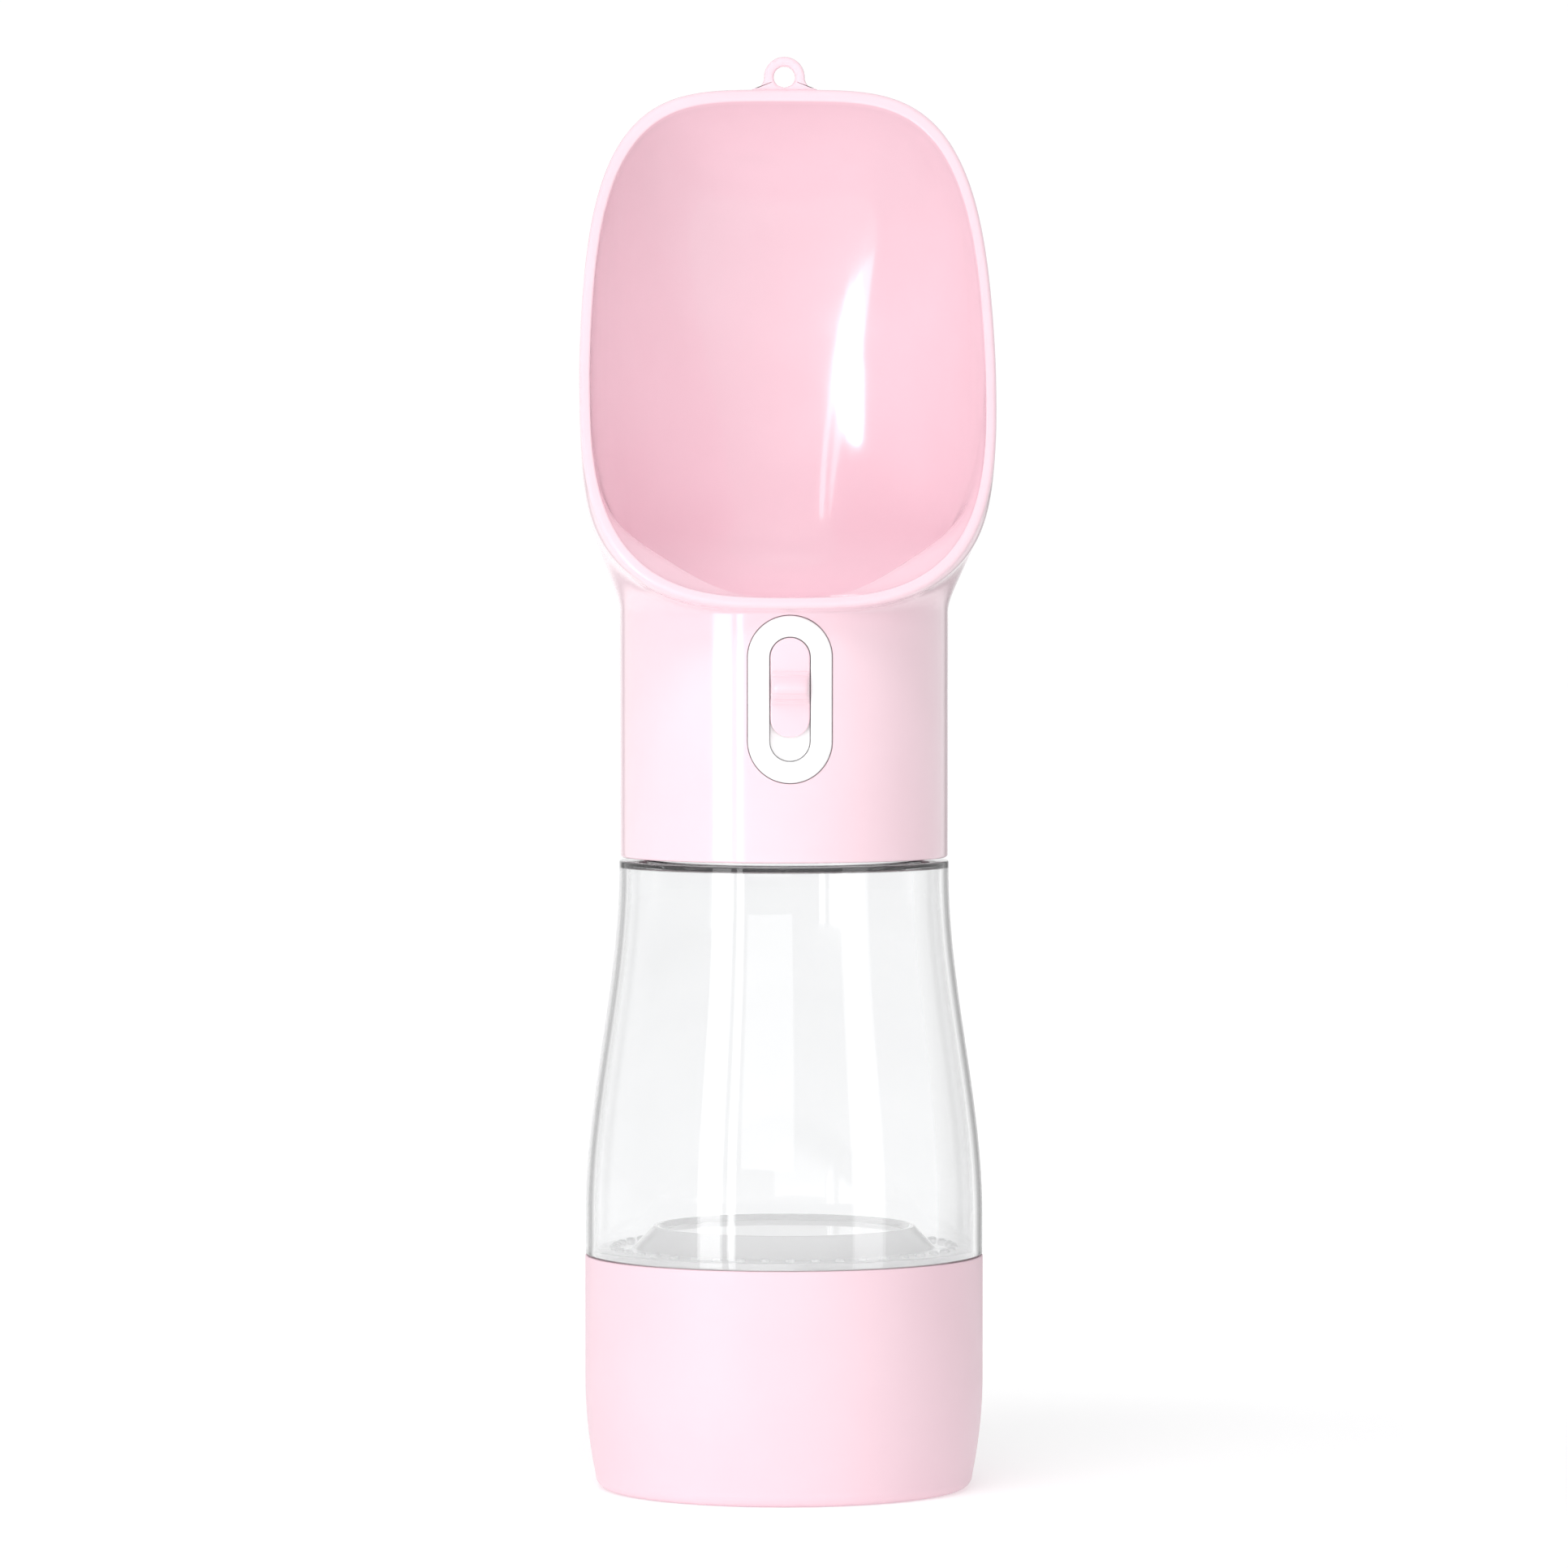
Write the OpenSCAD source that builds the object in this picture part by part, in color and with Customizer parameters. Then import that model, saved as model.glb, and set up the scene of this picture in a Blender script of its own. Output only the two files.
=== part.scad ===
// Travel water bottle for dogs: a clear bottle between a drinking bowl with a
// press valve and a screw-on food cup. It stands upright on the food cup.
// Origin: centre of the underside. +Z is up, the bowl opens towards -Y.

/* [Food cup] */
// How much wider the food cup is than the bottle on it, in radius
cup_proud = 0.06; // [0:0.02:0.2]
// Height of the food cup
cup_h = 40.9; // [36:0.1:60]
// Wall thickness of the food cup
cup_wall = 2.2; // [1.6:0.1:2.4]
// Floor thickness of the food cup
cup_floor = 2.2; // [1.6:0.1:4]
// Height over which the cup wall curves in towards its foot
cup_curve_h = 17.6; // [8:0.1:20]
// How far the cup wall curves in before its foot fillet
cup_curve_in = 1.8; // [0.5:0.1:3]
// Fillet radius at the foot of the cup
cup_foot_fillet = 2.2; // [1:0.1:4]

/* [Bottle] */
// Outer radius of the bottle at its foot
bottle_r = 34.8; // [33:0.1:38]
// How much wider the bottle's shoulder is than the head on it, in radius
shoulder_proud = 0.15; // [0:0.05:0.4]
// Height of the bottle from its foot to its shoulder
bottle_h = 68.9; // [60:0.1:140]
// Straight length of wall above the foot
foot_straight = 6.9; // [4:0.1:15]
// Straight length of wall below the shoulder
shoulder_straight = 2; // [1:0.1:10]
// Wall thickness of the bottle
bottle_wall = 1.6; // [1.2:0.1:2]
// Wall thickness of the neck
neck_wall = 2.2; // [1.6:0.1:3]
// Height of the neck above the shoulder
neck_h = 12; // [11:0.1:16]

/* [Bottle base] */
// Distance from the edge of the base to the foot of its raised centre
hat_inset = 6.75; // [6:0.05:9]
// How far the side of the raised centre leans in
hat_slope = 3.4; // [2:0.1:6]
// Height of the raised centre above the flange
hat_h = 3.8; // [2:0.1:8]
// Depth of the dish in the raised centre
hat_dish = 1; // [0.4:0.1:1.6]
// Thickness of the base flange and of the raised centre
base_t = 1.6; // [1.2:0.1:2]
// Distance from the edge of the base in to the threaded spigot
spigot_inset = 2.15; // [2:0.05:2.6]
// Wall thickness of the spigot
spigot_wall = 1.8; // [1.4:0.1:2.4]
// Length of the spigot below the flange
spigot_l = 12.4; // [11:0.1:16]
// Number of small weld bumps round the flange
bump_count = 44; // [20:1:60]
// Radius of one weld bump
bump_r = 0.9; // [0.4:0.1:1.2]
// Height of one weld bump
bump_h = 0.6; // [0.3:0.1:1]

/* [Threads] */
// Rise of both screw threads in one turn
thread_pitch = 4; // [3.6:0.1:4.4]
// Height of a thread tooth
thread_tooth = 0.9; // [0.7:0.05:0.9]
// Width of a thread tooth at its foot
thread_foot = 1.9; // [1.4:0.1:2]
// Width of a thread tooth at its crest
thread_crest = 0.8; // [0.4:0.1:1]
// Turns of each thread
thread_turns = 1.5; // [1:0.25:1.75]
// Radial gap between a thread crest and the wall facing it
thread_gap = 0.4; // [0.3:0.05:0.5]

/* [Seals] */
// Thickness of the food cup gasket
food_gasket_t = 1.2; // [0.8:0.1:2]
// Width of the food cup gasket
food_gasket_w = 1.9; // [1.2:0.1:2]
// Thickness of the neck gasket
neck_gasket_t = 1.3; // [0.8:0.1:2]
// Width of the neck gasket
neck_gasket_w = 2.4; // [1.6:0.1:2.6]
// Thickness of the outlet seal
outlet_seal_t = 1; // [0.6:0.1:1.5]
// Thickness of the rubber cord in the two round seals
o_ring_t = 1; // [0.8:0.1:1.2]

/* [Head] */
// Outer radius of the head's skirt
head_r = 28.7; // [28.2:0.1:31]
// Gap between the shoulder and the skirt
skirt_gap = 0.6; // [0.2:0.1:1]
// Height of the skirt from its lower edge to the bowl
skirt_h = 42.8; // [42.8:0.1:48]
// Wall thickness of the skirt behind its thread
thread_wall = 3.2; // [2.8:0.1:3.6]
// Wall thickness of the skirt beside the valve
skirt_wall = 2.5; // [2.2:0.1:2.6]
// Thickness of the bowl's floor
bowl_floor_t = 2.2; // [1.6:0.1:3]
// Half the width of the bowl's rim
bowl_half_w = 36; // [32:0.1:42]
// Height of the bowl's rim above its widest place
bowl_up = 49.7; // [40:0.1:60]
// Depth of the bowl's rim below its widest place
bowl_low = 40.3; // [36:0.1:50]
// Squareness of the rim's upper half, 2 being an ellipse
rim_square_up = 4; // [3:0.1:4.5]
// Squareness of the rim's lower half, 2 being an ellipse
rim_square_low = 3.1; // [2.6:0.1:3.6]
// Share of the width that the rim loses towards its top
rim_taper = 0.11; // [0.05:0.01:0.2]
// How far the lip stands out before the skirt
lip_out = 2.8; // [1.5:0.1:5]
// How far the lip lies above the skirt
lip_rise = 1.25; // [0.4:0.05:2]
// How far the bowl's sides bulge beyond its round floor
bowl_bulge = 2.2; // [1:0.1:2.4]
// How far the rim leans back, in degrees
rim_lean = 17.5; // [12:0.5:22]
// Wall thickness of the bowl at its rim
rim_w = 1.8; // [1.4:0.1:2.4]
// Edge radius on the outside of the rim
rim_round = 0.8; // [0.4:0.1:1]
// Height of the curve between the bowl's floor and its wall
bowl_fillet = 14; // [8:0.5:18]

/* [Hanging loop] */
// Radius of the hole in the loop
loop_hole_r = 1.85; // [1.5:0.05:2.5]
// Width of material round the hole
loop_band = 1.7; // [1.2:0.1:3]
// Thickness of the loop, front to back
loop_t = 3.2; // [2:0.1:5]
// Radius of the curves that run from the loop into the rim
loop_flare_r = 2.15; // [1.2:0.05:3]

/* [Switch] */
// Width of the switch plate
plate_w = 14.5; // [13.5:0.1:17]
// Height of the switch plate
plate_h = 28.8; // [28:0.1:29]
// Thickness of the switch plate
plate_t = 1.8; // [1.2:0.1:1.8]
// How far the plate stands proud of the skirt
plate_proud = 0.3; // [0.1:0.1:0.6]
// Width of the slot in the plate
slot_w = 7.1; // [6:0.1:8]
// Height of the slot in the plate
slot_h = 21.5; // [20.5:0.1:22]
// Height of the slider in the slot
slider_h = 17.1; // [16:0.1:18]
// Thickness of the slider where it lies in the slot
slider_t = 1.4; // [1:0.1:1.4]
// Height of the raised thumb grip
grip_h = 6.7; // [5:0.1:8]
// How far the thumb grip stands out
grip_out = 2.3; // [1:0.1:3]
// Sliding gap round the slider and the key
slide_gap = 0.15; // [0.1:0.05:0.25]
// Width of the flange that holds the key behind the plate
key_flange_edge = 1.45; // [1:0.05:1.5]
// How far the key is pressed in
press_travel = 2.5; // [1.5:0.1:3]

/* [Valve] */
// Height of the valve axis above the deck
valve_axis_h = 6.6; // [6.5:0.1:7]
// Thickness of the deck that carries the valve
deck_t = 2; // [1.6:0.1:3]
// Radius of the chamber behind the valve seat
chamber_r = 4.8; // [4.4:0.1:5]
// Radius of the opening in the valve seat
seat_r = 2.9; // [2.4:0.1:3.2]
// Radius of the poppet's stem
stem_r = 1.5; // [1.2:0.1:1.7]
// Radius of the water channels
channel_r = 2.6; // [2:0.1:3]
// Distance from the bottle's axis to each water channel
channel_y = 5.2; // [5:0.1:5.6]
// Distance from the front water channel to the front of the stem's gland
gland_l = 7; // [6.6:0.1:7.4]
// How far the stem stands out of the gland
stem_reach = 5; // [4.6:0.1:6]
// Distance from the valve seat to the end of the chamber behind it
chamber_l = 13; // [12.4:0.1:13.6]
// Wall thickness of the valve body
valve_wall = 1.7; // [1.4:0.1:2]
// Thickness of the poppet's head
poppet_t = 1.6; // [1.2:0.1:2]
// Thickness of the rubber washer on the poppet
poppet_seal_t = 0.8; // [0.6:0.1:1]
// Wire thickness of the valve spring
spring_wire = 0.6; // [0.5:0.1:0.8]
// Distance from the outside of the skirt in to the deck screws
screw_inset = 11.7; // [11.5:0.1:12.2]
// Radius of a screw shank
screw_r = 1.4; // [1.2:0.1:1.6]
// Length of a screw shank
screw_l = 9; // [6:0.5:12]

/* [Hidden] */
$fn = 96;

pink = [0.98, 0.82, 0.86];
white = [0.95, 0.95, 0.95];
clear = [0.85, 0.9, 0.95, 0.5];
rubber = [0.8, 0.8, 0.82];
steel = [0.7, 0.72, 0.75];

seat_gap = 0.1;            // faces that meet without pressing
fit_gap = 0.05;            // radial clearance of a guided shaft

// Levels, from the foot up
bottle_z = cup_h + 0.2;
flange_z = bottle_z - 0.5;
shoulder_z = bottle_z + bottle_h;
neck_top_z = shoulder_z + neck_h;
deck_z = neck_top_z + neck_gasket_t;
deck_top_z = deck_z + deck_t;
skirt_z = shoulder_z + skirt_gap;
ceiling_z = skirt_z + skirt_h;
bowl_floor_z = ceiling_z + bowl_floor_t;
lip_z = ceiling_z + lip_rise;
rim_mid_z = lip_z + bowl_low;
rim_top_z = rim_mid_z + bowl_up;
valve_z = deck_top_z + valve_axis_h;
switch_z = ceiling_z - 0.2 - plate_h / 2;

// Radii that follow the bottle's, at its foot
cup_r = bottle_r + cup_proud;
flange_r = bottle_r - bottle_wall - fit_gap;
rabbet_r = flange_r + 0.35;
spigot_r = flange_r - spigot_inset;
hat_low_r = flange_r - hat_inset;
hat_top_r = hat_low_r - hat_slope;

// Threads
spigot_crest_r = spigot_r + thread_tooth;
cup_in_r = spigot_crest_r + thread_gap + 0.1;
neck_thread_z = shoulder_z + 3;
spigot_thread_z = flange_z - spigot_l + 1.6;
thread_steps = 36;         // flats in one turn of thread

// Radii that follow the skirt's
shoulder_r = head_r + shoulder_proud;
skirt_in_r = head_r - thread_wall;
neck_r = skirt_in_r - thread_tooth - thread_gap;
deck_r = neck_r + seat_gap;
screw_circle_r = head_r - screw_inset;
cavity_r = head_r - skirt_wall;
plate_in_r = head_r + plate_proud - plate_t;
plate_out_r = head_r + plate_proud;

// ---------------------------------------------------------------- helpers

// A flat outline with round ends, standing in the XZ plane, extruded along +Y
module stadium_y(w, h, y0, y1) {
    translate([0, y1, 0])
        rotate([90, 0, 0])
            linear_extrude(y1 - y0)
                union() {
                    square([w, h - w], center = true);
                    translate([0, (h - w) / 2]) circle(d = w);
                    translate([0, -(h - w) / 2]) circle(d = w);
                }
}

module rod_y(r, y0, y1) {
    translate([0, y0, 0]) rotate([-90, 0, 0]) cylinder(r = r, h = y1 - y0);
}

module tube(r_out, r_in, h) {
    rotate_extrude()
        translate([r_in, 0])
            square([r_out - r_in, h]);
}

module tube_y(r_out, r_in, y0, y1) {
    translate([0, y0, 0]) rotate([-90, 0, 0]) tube(r_out, r_in, y1 - y0);
}

module o_ring(r_in, t) {
    rotate_extrude()
        translate([r_in + t / 2, 0])
            circle(d = t, $fn = 32);
}

// Triangles that join ring i to ring i + 1, each of m points
function ring_quads(i, m) = [
    for (j = [0 : m - 1])
        let (k = (j + 1) % m, a = i * m, b = (i + 1) * m)
            each [[a + j, b + k, a + k], [a + j, b + j, b + k]]
];

// One screw thread. dir = 1 stands out from radius r, dir = -1 stands in from it.
// The tooth grows from nothing over lead degrees at each end.
module thread(r, dir, z0, phase) {
    bury = 0.4;
    lead = 40;
    steps = round(thread_turns * thread_steps);
    span = 360 * thread_turns;
    function grow(a) = min(1, (a + 3) / lead, (span - a + 3) / lead);
    rings = [
        for (i = [0 : steps])
            let (
                a = span * i / steps,
                tooth = thread_tooth * grow(a),
                z = z0 + thread_pitch * (a + phase) / 360,
                foot = thread_foot / 2 + bury * (thread_foot - thread_crest) / (2 * thread_tooth),
                tip = thread_crest / 2
                    + (thread_foot - thread_crest) / 2 * (1 - tooth / thread_tooth)
            )
            [
                for (p = [[-bury, -foot], [tooth, -tip], [tooth, tip], [-bury, foot]])
                    let (q = r + dir * p[0])
                        [q * cos(a), q * sin(a), z + p[1]]
            ]
    ];
    points = [for (ring = rings) each ring];
    last = steps * 4;
    sides = [for (i = [0 : steps - 1]) each ring_quads(i, 4)];
    ends = [
        [0, 1, 2], [0, 2, 3],
        [last, last + 2, last + 1], [last, last + 3, last + 2]
    ];
    faces = concat(sides, ends);
    polyhedron(points, dir < 0 ? faces : [for (f = faces) [f[0], f[2], f[1]]], convexity = 6);
}

// --------------------------------------------------------------- food cup

cup_low_r = cup_r - cup_curve_in;
cup_curve_z = cup_foot_fillet + cup_curve_h;
cup_in_fillet = 2.4;       // between the cup's floor and its wall

// Outer line of the cup from its foot up, moved in by t
function cup_line(t) = concat(
    [
        for (a = [0 : 15 : 90])
            [
                cup_low_r - cup_foot_fillet + (cup_foot_fillet - min(t, 1.6)) * sin(a)
                    - max(0, t - 1.6),
                cup_foot_fillet - (cup_foot_fillet - min(t, 1.6)) * cos(a)
            ]
    ],
    [
        for (i = [1 : 8])
            let (u = i / 8)
                [cup_r - cup_curve_in * (1 - u) * (1 - u) - t, cup_foot_fillet + cup_curve_h * u]
    ]
);

module food_cup() {
    color(pink)
    union() {
        difference() {
            rotate_extrude()
                polygon(concat([[0, 0]], cup_line(0), [[cup_r, cup_h], [0, cup_h]]));
            rotate_extrude()
                polygon(concat(
                    [[0, cup_floor]],
                    [
                        for (a = [0 : 30 : 60])
                            [
                                cup_low_r - cup_wall - cup_in_fillet * (1 - sin(a)),
                                cup_floor + cup_in_fillet * (1 - cos(a))
                            ]
                    ],
                    [for (p = cup_line(cup_wall)) if (p[1] > cup_floor + cup_in_fillet) p],
                    [
                        [cup_in_r, cup_curve_z + 2],
                        [cup_in_r, cup_h + 1],
                        [0, cup_h + 1]
                    ]
                ));
            translate([0, 0, flange_z - food_gasket_t - seat_gap])
                cylinder(r = rabbet_r, h = cup_h);
        }
        thread(cup_in_r, -1, spigot_thread_z, 180);
    }
}

module food_gasket() {
    color(rubber)
    translate([0, 0, flange_z - food_gasket_t])
        tube(spigot_r + 0.3 + food_gasket_w, spigot_r + 0.3, food_gasket_t);
}

// ----------------------------------------------------------------- bottle

module bottle_base() {
    top = flange_z + base_t;
    color(clear)
    union() {
        rotate_extrude()
            polygon([
                [0, top + hat_h - hat_dish],
                [hat_top_r - 1.6, top + hat_h - hat_dish],
                [hat_top_r - 1.2, top + hat_h],
                [hat_top_r, top + hat_h],
                [hat_low_r, top],
                [flange_r, top],
                [flange_r, flange_z],
                [spigot_r, flange_z],
                [spigot_r, flange_z - spigot_l],
                [spigot_r - spigot_wall, flange_z - spigot_l],
                [spigot_r - spigot_wall, flange_z],
                [hat_low_r - 1.2, flange_z],
                [hat_top_r - 1.6, top + hat_h - hat_dish - base_t],
                [0, top + hat_h - hat_dish - base_t]
            ]);
        thread(spigot_r, 1, spigot_thread_z, 0);
        for (i = [0 : bump_count - 1])
            rotate([0, 0, 360 * i / bump_count])
                translate([(hat_low_r + flange_r) / 2, 0, top - 0.3])
                    cylinder(r = bump_r, h = bump_h + 0.3);
    }
}

// Radius of the bottle's outer wall at height h above its foot
function bottle_line_r(h) =
    let (
        span = bottle_h - foot_straight - shoulder_straight,
        t = max(0, min(1, (h - foot_straight) / span))
    )
    bottle_r + (shoulder_r - bottle_r) * t * t * (3 - 2 * t);

bottle_levels = [
    foot_straight,
    for (i = [1 : 20])
        foot_straight + (bottle_h - foot_straight - shoulder_straight) * i / 20
];

module water_bottle() {
    edge = 0.8;
    outer = [for (h = bottle_levels) [bottle_line_r(h), bottle_z + h]];
    inner = [for (i = [len(outer) - 1 : -1 : 0]) [outer[i][0] - bottle_wall, outer[i][1]]];
    color(clear)
    union() {
        rotate_extrude()
            polygon(concat(
                [[bottle_r, bottle_z]],
                outer,
                [
                    for (a = [0 : 30 : 90])
                        [shoulder_r - edge * (1 - cos(a)), shoulder_z - edge * (1 - sin(a))]
                ],
                [
                    [neck_r, shoulder_z],
                    [neck_r, neck_top_z],
                    [neck_r - neck_wall, neck_top_z],
                    [neck_r - neck_wall, shoulder_z - bottle_wall],
                    [shoulder_r - bottle_wall - 1, shoulder_z - bottle_wall]
                ],
                inner,
                [[bottle_r - bottle_wall, bottle_z]]
            ));
        thread(neck_r, 1, neck_thread_z, 0);
    }
}

module neck_gasket() {
    color(rubber)
    translate([0, 0, neck_top_z])
        tube(neck_r - 0.1, neck_r - 0.1 - neck_gasket_w, neck_gasket_t);
}

// ------------------------------------------------------------------- head

rim_sides = 72;            // points round the rim
lip_y = -(head_r + lip_out);
skirt_join_r = head_r + 0.15;
skirt_bury = 0.5;          // height of the skirt's wall inside the bowl's floor
rim_in_top = 1.25;         // the rim is this much wider at its top than at its sides
rim_in_lip = 0.95;

// Depth of the leaning rim plane at height z
function rim_y(z) = lip_y + (z - lip_z) * tan(rim_lean);

// Direction from the rim straight back into the bowl
back_dir = [0, cos(rim_lean), -sin(rim_lean)];

// Point of the rim at angle a, moved in by inset and back by depth
function rim_point(a, inset, depth) =
    let (
        w = bowl_half_w - inset,
        up = bowl_up - inset * rim_in_top,
        low = bowl_low - inset * rim_in_lip,
        n = sin(a) >= 0 ? rim_square_up : rim_square_low,
        v = sin(a) >= 0 ? up : low,
        q = pow(pow(abs(cos(a)) / w, n) + pow(abs(sin(a)) / v, n), -1 / n),
        t = max(0, q * sin(a) / up),
        z = rim_mid_z + q * sin(a)
    )
    [q * cos(a) * (1 - rim_taper * pow(t, 1.5)), rim_y(z), z] + depth * back_dir;

function bezier(p0, p1, p2, p3, t) =
    p0 * pow(1 - t, 3) + 3 * p1 * t * pow(1 - t, 2) + 3 * p2 * t * t * (1 - t) + p3 * t * t * t;

// How much angle a belongs to the bowl's sides, which swell out low down
function side(a) = pow(cos(a), sin(a) >= 0 ? 8 : 2);

// Line of the wall at angle a, from radius r at height z to a point on the rim
function wall_point(a, r, z, rim, t) =
    let (
        foot = [r * cos(a), r * sin(a), z],
        up = [0, 0, max(0, rim[2] - z)],
        reach = 0.28 * norm(rim - foot) * back_dir
    )
    bezier(
        foot, foot + (0.5 - 0.38 * side(a)) * up,
        rim + reach - 0.6 * side(a) * up, rim, t
    );

function rim_angles() = [for (j = [0 : rim_sides - 1]) 360 * j / rim_sides];

// Height of the curve at the bowl's floor, lower where the rim itself is low
function fillet_h(a) =
    let (h = rim_point(a, rim_w, 0)[2] - bowl_floor_z)
    h * bowl_fillet / (h + bowl_fillet);

// The bowl as rings of points: out over the wall, round the rim, down to the floor
function bowl_rings() =
    let (
        out_steps = 14,
        in_steps = 12,
        in_r = head_r - rim_w - 0.4,
        foot_r = function(a) in_r + bowl_bulge * side(a),
        edge = rim_round,
        small = 0.3,
        crown = 0.35
    )
    concat(
        [
            for (i = [0 : out_steps])
                [
                    for (a = rim_angles())
                        wall_point(a, skirt_join_r, ceiling_z, rim_point(a, 0, edge), i / out_steps)
                ]
        ],
        [
            for (b = [30 : 30 : 90])
                [
                    for (a = rim_angles())
                        rim_point(a, edge * (1 - cos(b)), edge * (1 - sin(b)))
                ]
        ],
        [
            for (b = [90 : -45 : 0])
                [
                    for (a = rim_angles())
                        rim_point(a, rim_w - small * (1 - cos(b)), small * (1 - sin(b)))
                ]
        ],
        [
            for (i = [1 : in_steps])
                [
                    for (a = rim_angles())
                        wall_point(
                            a, foot_r(a), bowl_floor_z + fillet_h(a),
                            rim_point(a, rim_w, small), 1 - i / in_steps
                        )
                ]
        ],
        [
            for (b = [22.5 : 22.5 : 90])
                [
                    for (a = rim_angles())
                        let (q = foot_r(a) - fillet_h(a) * (1 - cos(b)))
                            [q * cos(a), q * sin(a), bowl_floor_z + fillet_h(a) * (1 - sin(b))]
                ]
        ],
        [
            for (q = [0.66, 0.33])
                [for (a = rim_angles()) [q * 14 * cos(a), q * 14 * sin(a), bowl_floor_z]]
        ]
    );

module bowl() {
    rings = bowl_rings();
    n = len(rings);
    points = concat(
        [for (ring = rings) each ring],
        [[0, 0, bowl_floor_z], [0, 0, ceiling_z]]
    );
    top = n * rim_sides;
    polyhedron(
        points,
        concat(
            [for (i = [0 : n - 2]) each ring_quads(i, rim_sides)],
            [
                for (j = [0 : rim_sides - 1])
                    [(n - 1) * rim_sides + j, top, (n - 1) * rim_sides + (j + 1) % rim_sides]
            ],
            [for (j = [0 : rim_sides - 1]) [top + 1, j, (j + 1) % rim_sides]]
        ),
        convexity = 8
    );
}

loop_out_r = loop_hole_r + loop_band;
loop_z = rim_top_z + loop_hole_r + 0.15;
loop_y = rim_y(rim_top_z) + 2.3;

// The hanging loop on top of the rim, without its hole
module loop_body() {
    root = loop_out_r + loop_flare_r;
    foot_z = rim_top_z - 1.4;
    translate([0, loop_y + loop_t / 2, 0])
        rotate([90, 0, 0])
            linear_extrude(loop_t)
                union() {
                    translate([0, loop_z]) circle(r = loop_out_r);
                    difference() {
                        translate([-root, foot_z]) square([2 * root, loop_z - foot_z]);
                        for (s = [-1, 1])
                            translate([s * root, loop_z]) circle(r = loop_flare_r);
                    }
                }
}

screw_angles = [45 : 90 : 315];
boss_r = screw_r + 2.1;
boss_bury = 0.8;
window_w = slot_w + 2 * key_flange_edge + 4 * slide_gap;
window_h = slot_h + 2 * key_flange_edge - 0.4 + 4 * slide_gap;
pin_r = 0.7;
pin_z = (plate_h / 2 + window_h / 2) / 2;
spout_r = channel_r + 0.8;
front_y = -1.2 * head_r;   // clear of the skirt's front

module head_shell() {
    color(pink)
    difference() {
        union() {
            bowl();
            difference() {
                translate([0, 0, skirt_z])
                    cylinder(r = head_r, h = ceiling_z + skirt_bury - skirt_z);
                translate([0, 0, skirt_z - 1])
                    cylinder(r = skirt_in_r, h = deck_z - skirt_z + 1);
                translate([0, 0, deck_z - 0.5])
                    cylinder(r = cavity_r, h = ceiling_z + 2 - deck_z);
            }
            thread(skirt_in_r, -1, neck_thread_z, 180);
            for (a = screw_angles)
                rotate([0, 0, a])
                    translate([screw_circle_r, 0, deck_top_z])
                        cylinder(r = boss_r, h = ceiling_z + boss_bury - deck_top_z);
            loop_body();
        }
        // Hole in the loop
        translate([0, 0, loop_z]) rod_y(loop_hole_r, loop_y - loop_t, loop_y + loop_t);
        // Seat of the switch plate, and the window behind it
        translate([0, 0, switch_z])
            difference() {
                stadium_y(plate_w + seat_gap, plate_h + seat_gap, front_y, 0);
                translate([0, 0, -plate_h]) cylinder(r = plate_in_r, h = 2 * plate_h);
            }
        translate([0, 0, switch_z]) stadium_y(window_w, window_h, front_y, -head_r / 2);
        // Holes for the two pins of the plate
        for (s = [-1, 1])
            translate([0, 0, switch_z + s * pin_z]) rod_y(pin_r + fit_gap, -head_r, -cavity_r + 4 * pin_r);
        // Holes for the deck screws
        for (a = screw_angles)
            rotate([0, 0, a])
                translate([screw_circle_r, 0, deck_z])
                    cylinder(r = screw_r + fit_gap, h = screw_l + 1);
        // Hole for the spout in the bowl's floor
        translate([0, -channel_y, ceiling_z - 1])
            cylinder(r = spout_r + fit_gap, h = bowl_floor_t + 2);
    }
}

// ----------------------------------------------------------------- switch

module switch_plate() {
    color(white)
    difference() {
        union() {
            intersection() {
                stadium_y(plate_w, plate_h, front_y, 0);
                translate([0, 0, -plate_h])
                    tube(plate_out_r, plate_in_r, 2 * plate_h);
            }
            for (s = [-1, 1])
                translate([0, 0, s * pin_z]) rod_y(pin_r, -plate_in_r - 0.5, -cavity_r);
        }
        stadium_y(slot_w, slot_h, front_y, -head_r / 2);
    }
}

key_w = slot_w + 2 * key_flange_edge;
key_h = slot_h + 2 * key_flange_edge - 0.4;
key_front_r = plate_in_r - 0.3;
key_t = 2;
key_skirt_t = 1.2;
key_back_y = -key_front_r + 4.7;
key_web_y = -key_front_r + key_t;
floor_y = -(plate_out_r - slider_t - 0.05);
slider_z = switch_z + slot_h / 2 - slide_gap - slider_h / 2;
slider_travel = slot_h - slider_h - 2 * slide_gap;
stem_w = 3;
stem_h = 4.6;
stem_z = slider_z + 2.6;
post_r = 2.4;
gland_y = -channel_y - gland_l;
poppet_front_y = gland_y - stem_reach;

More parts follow.
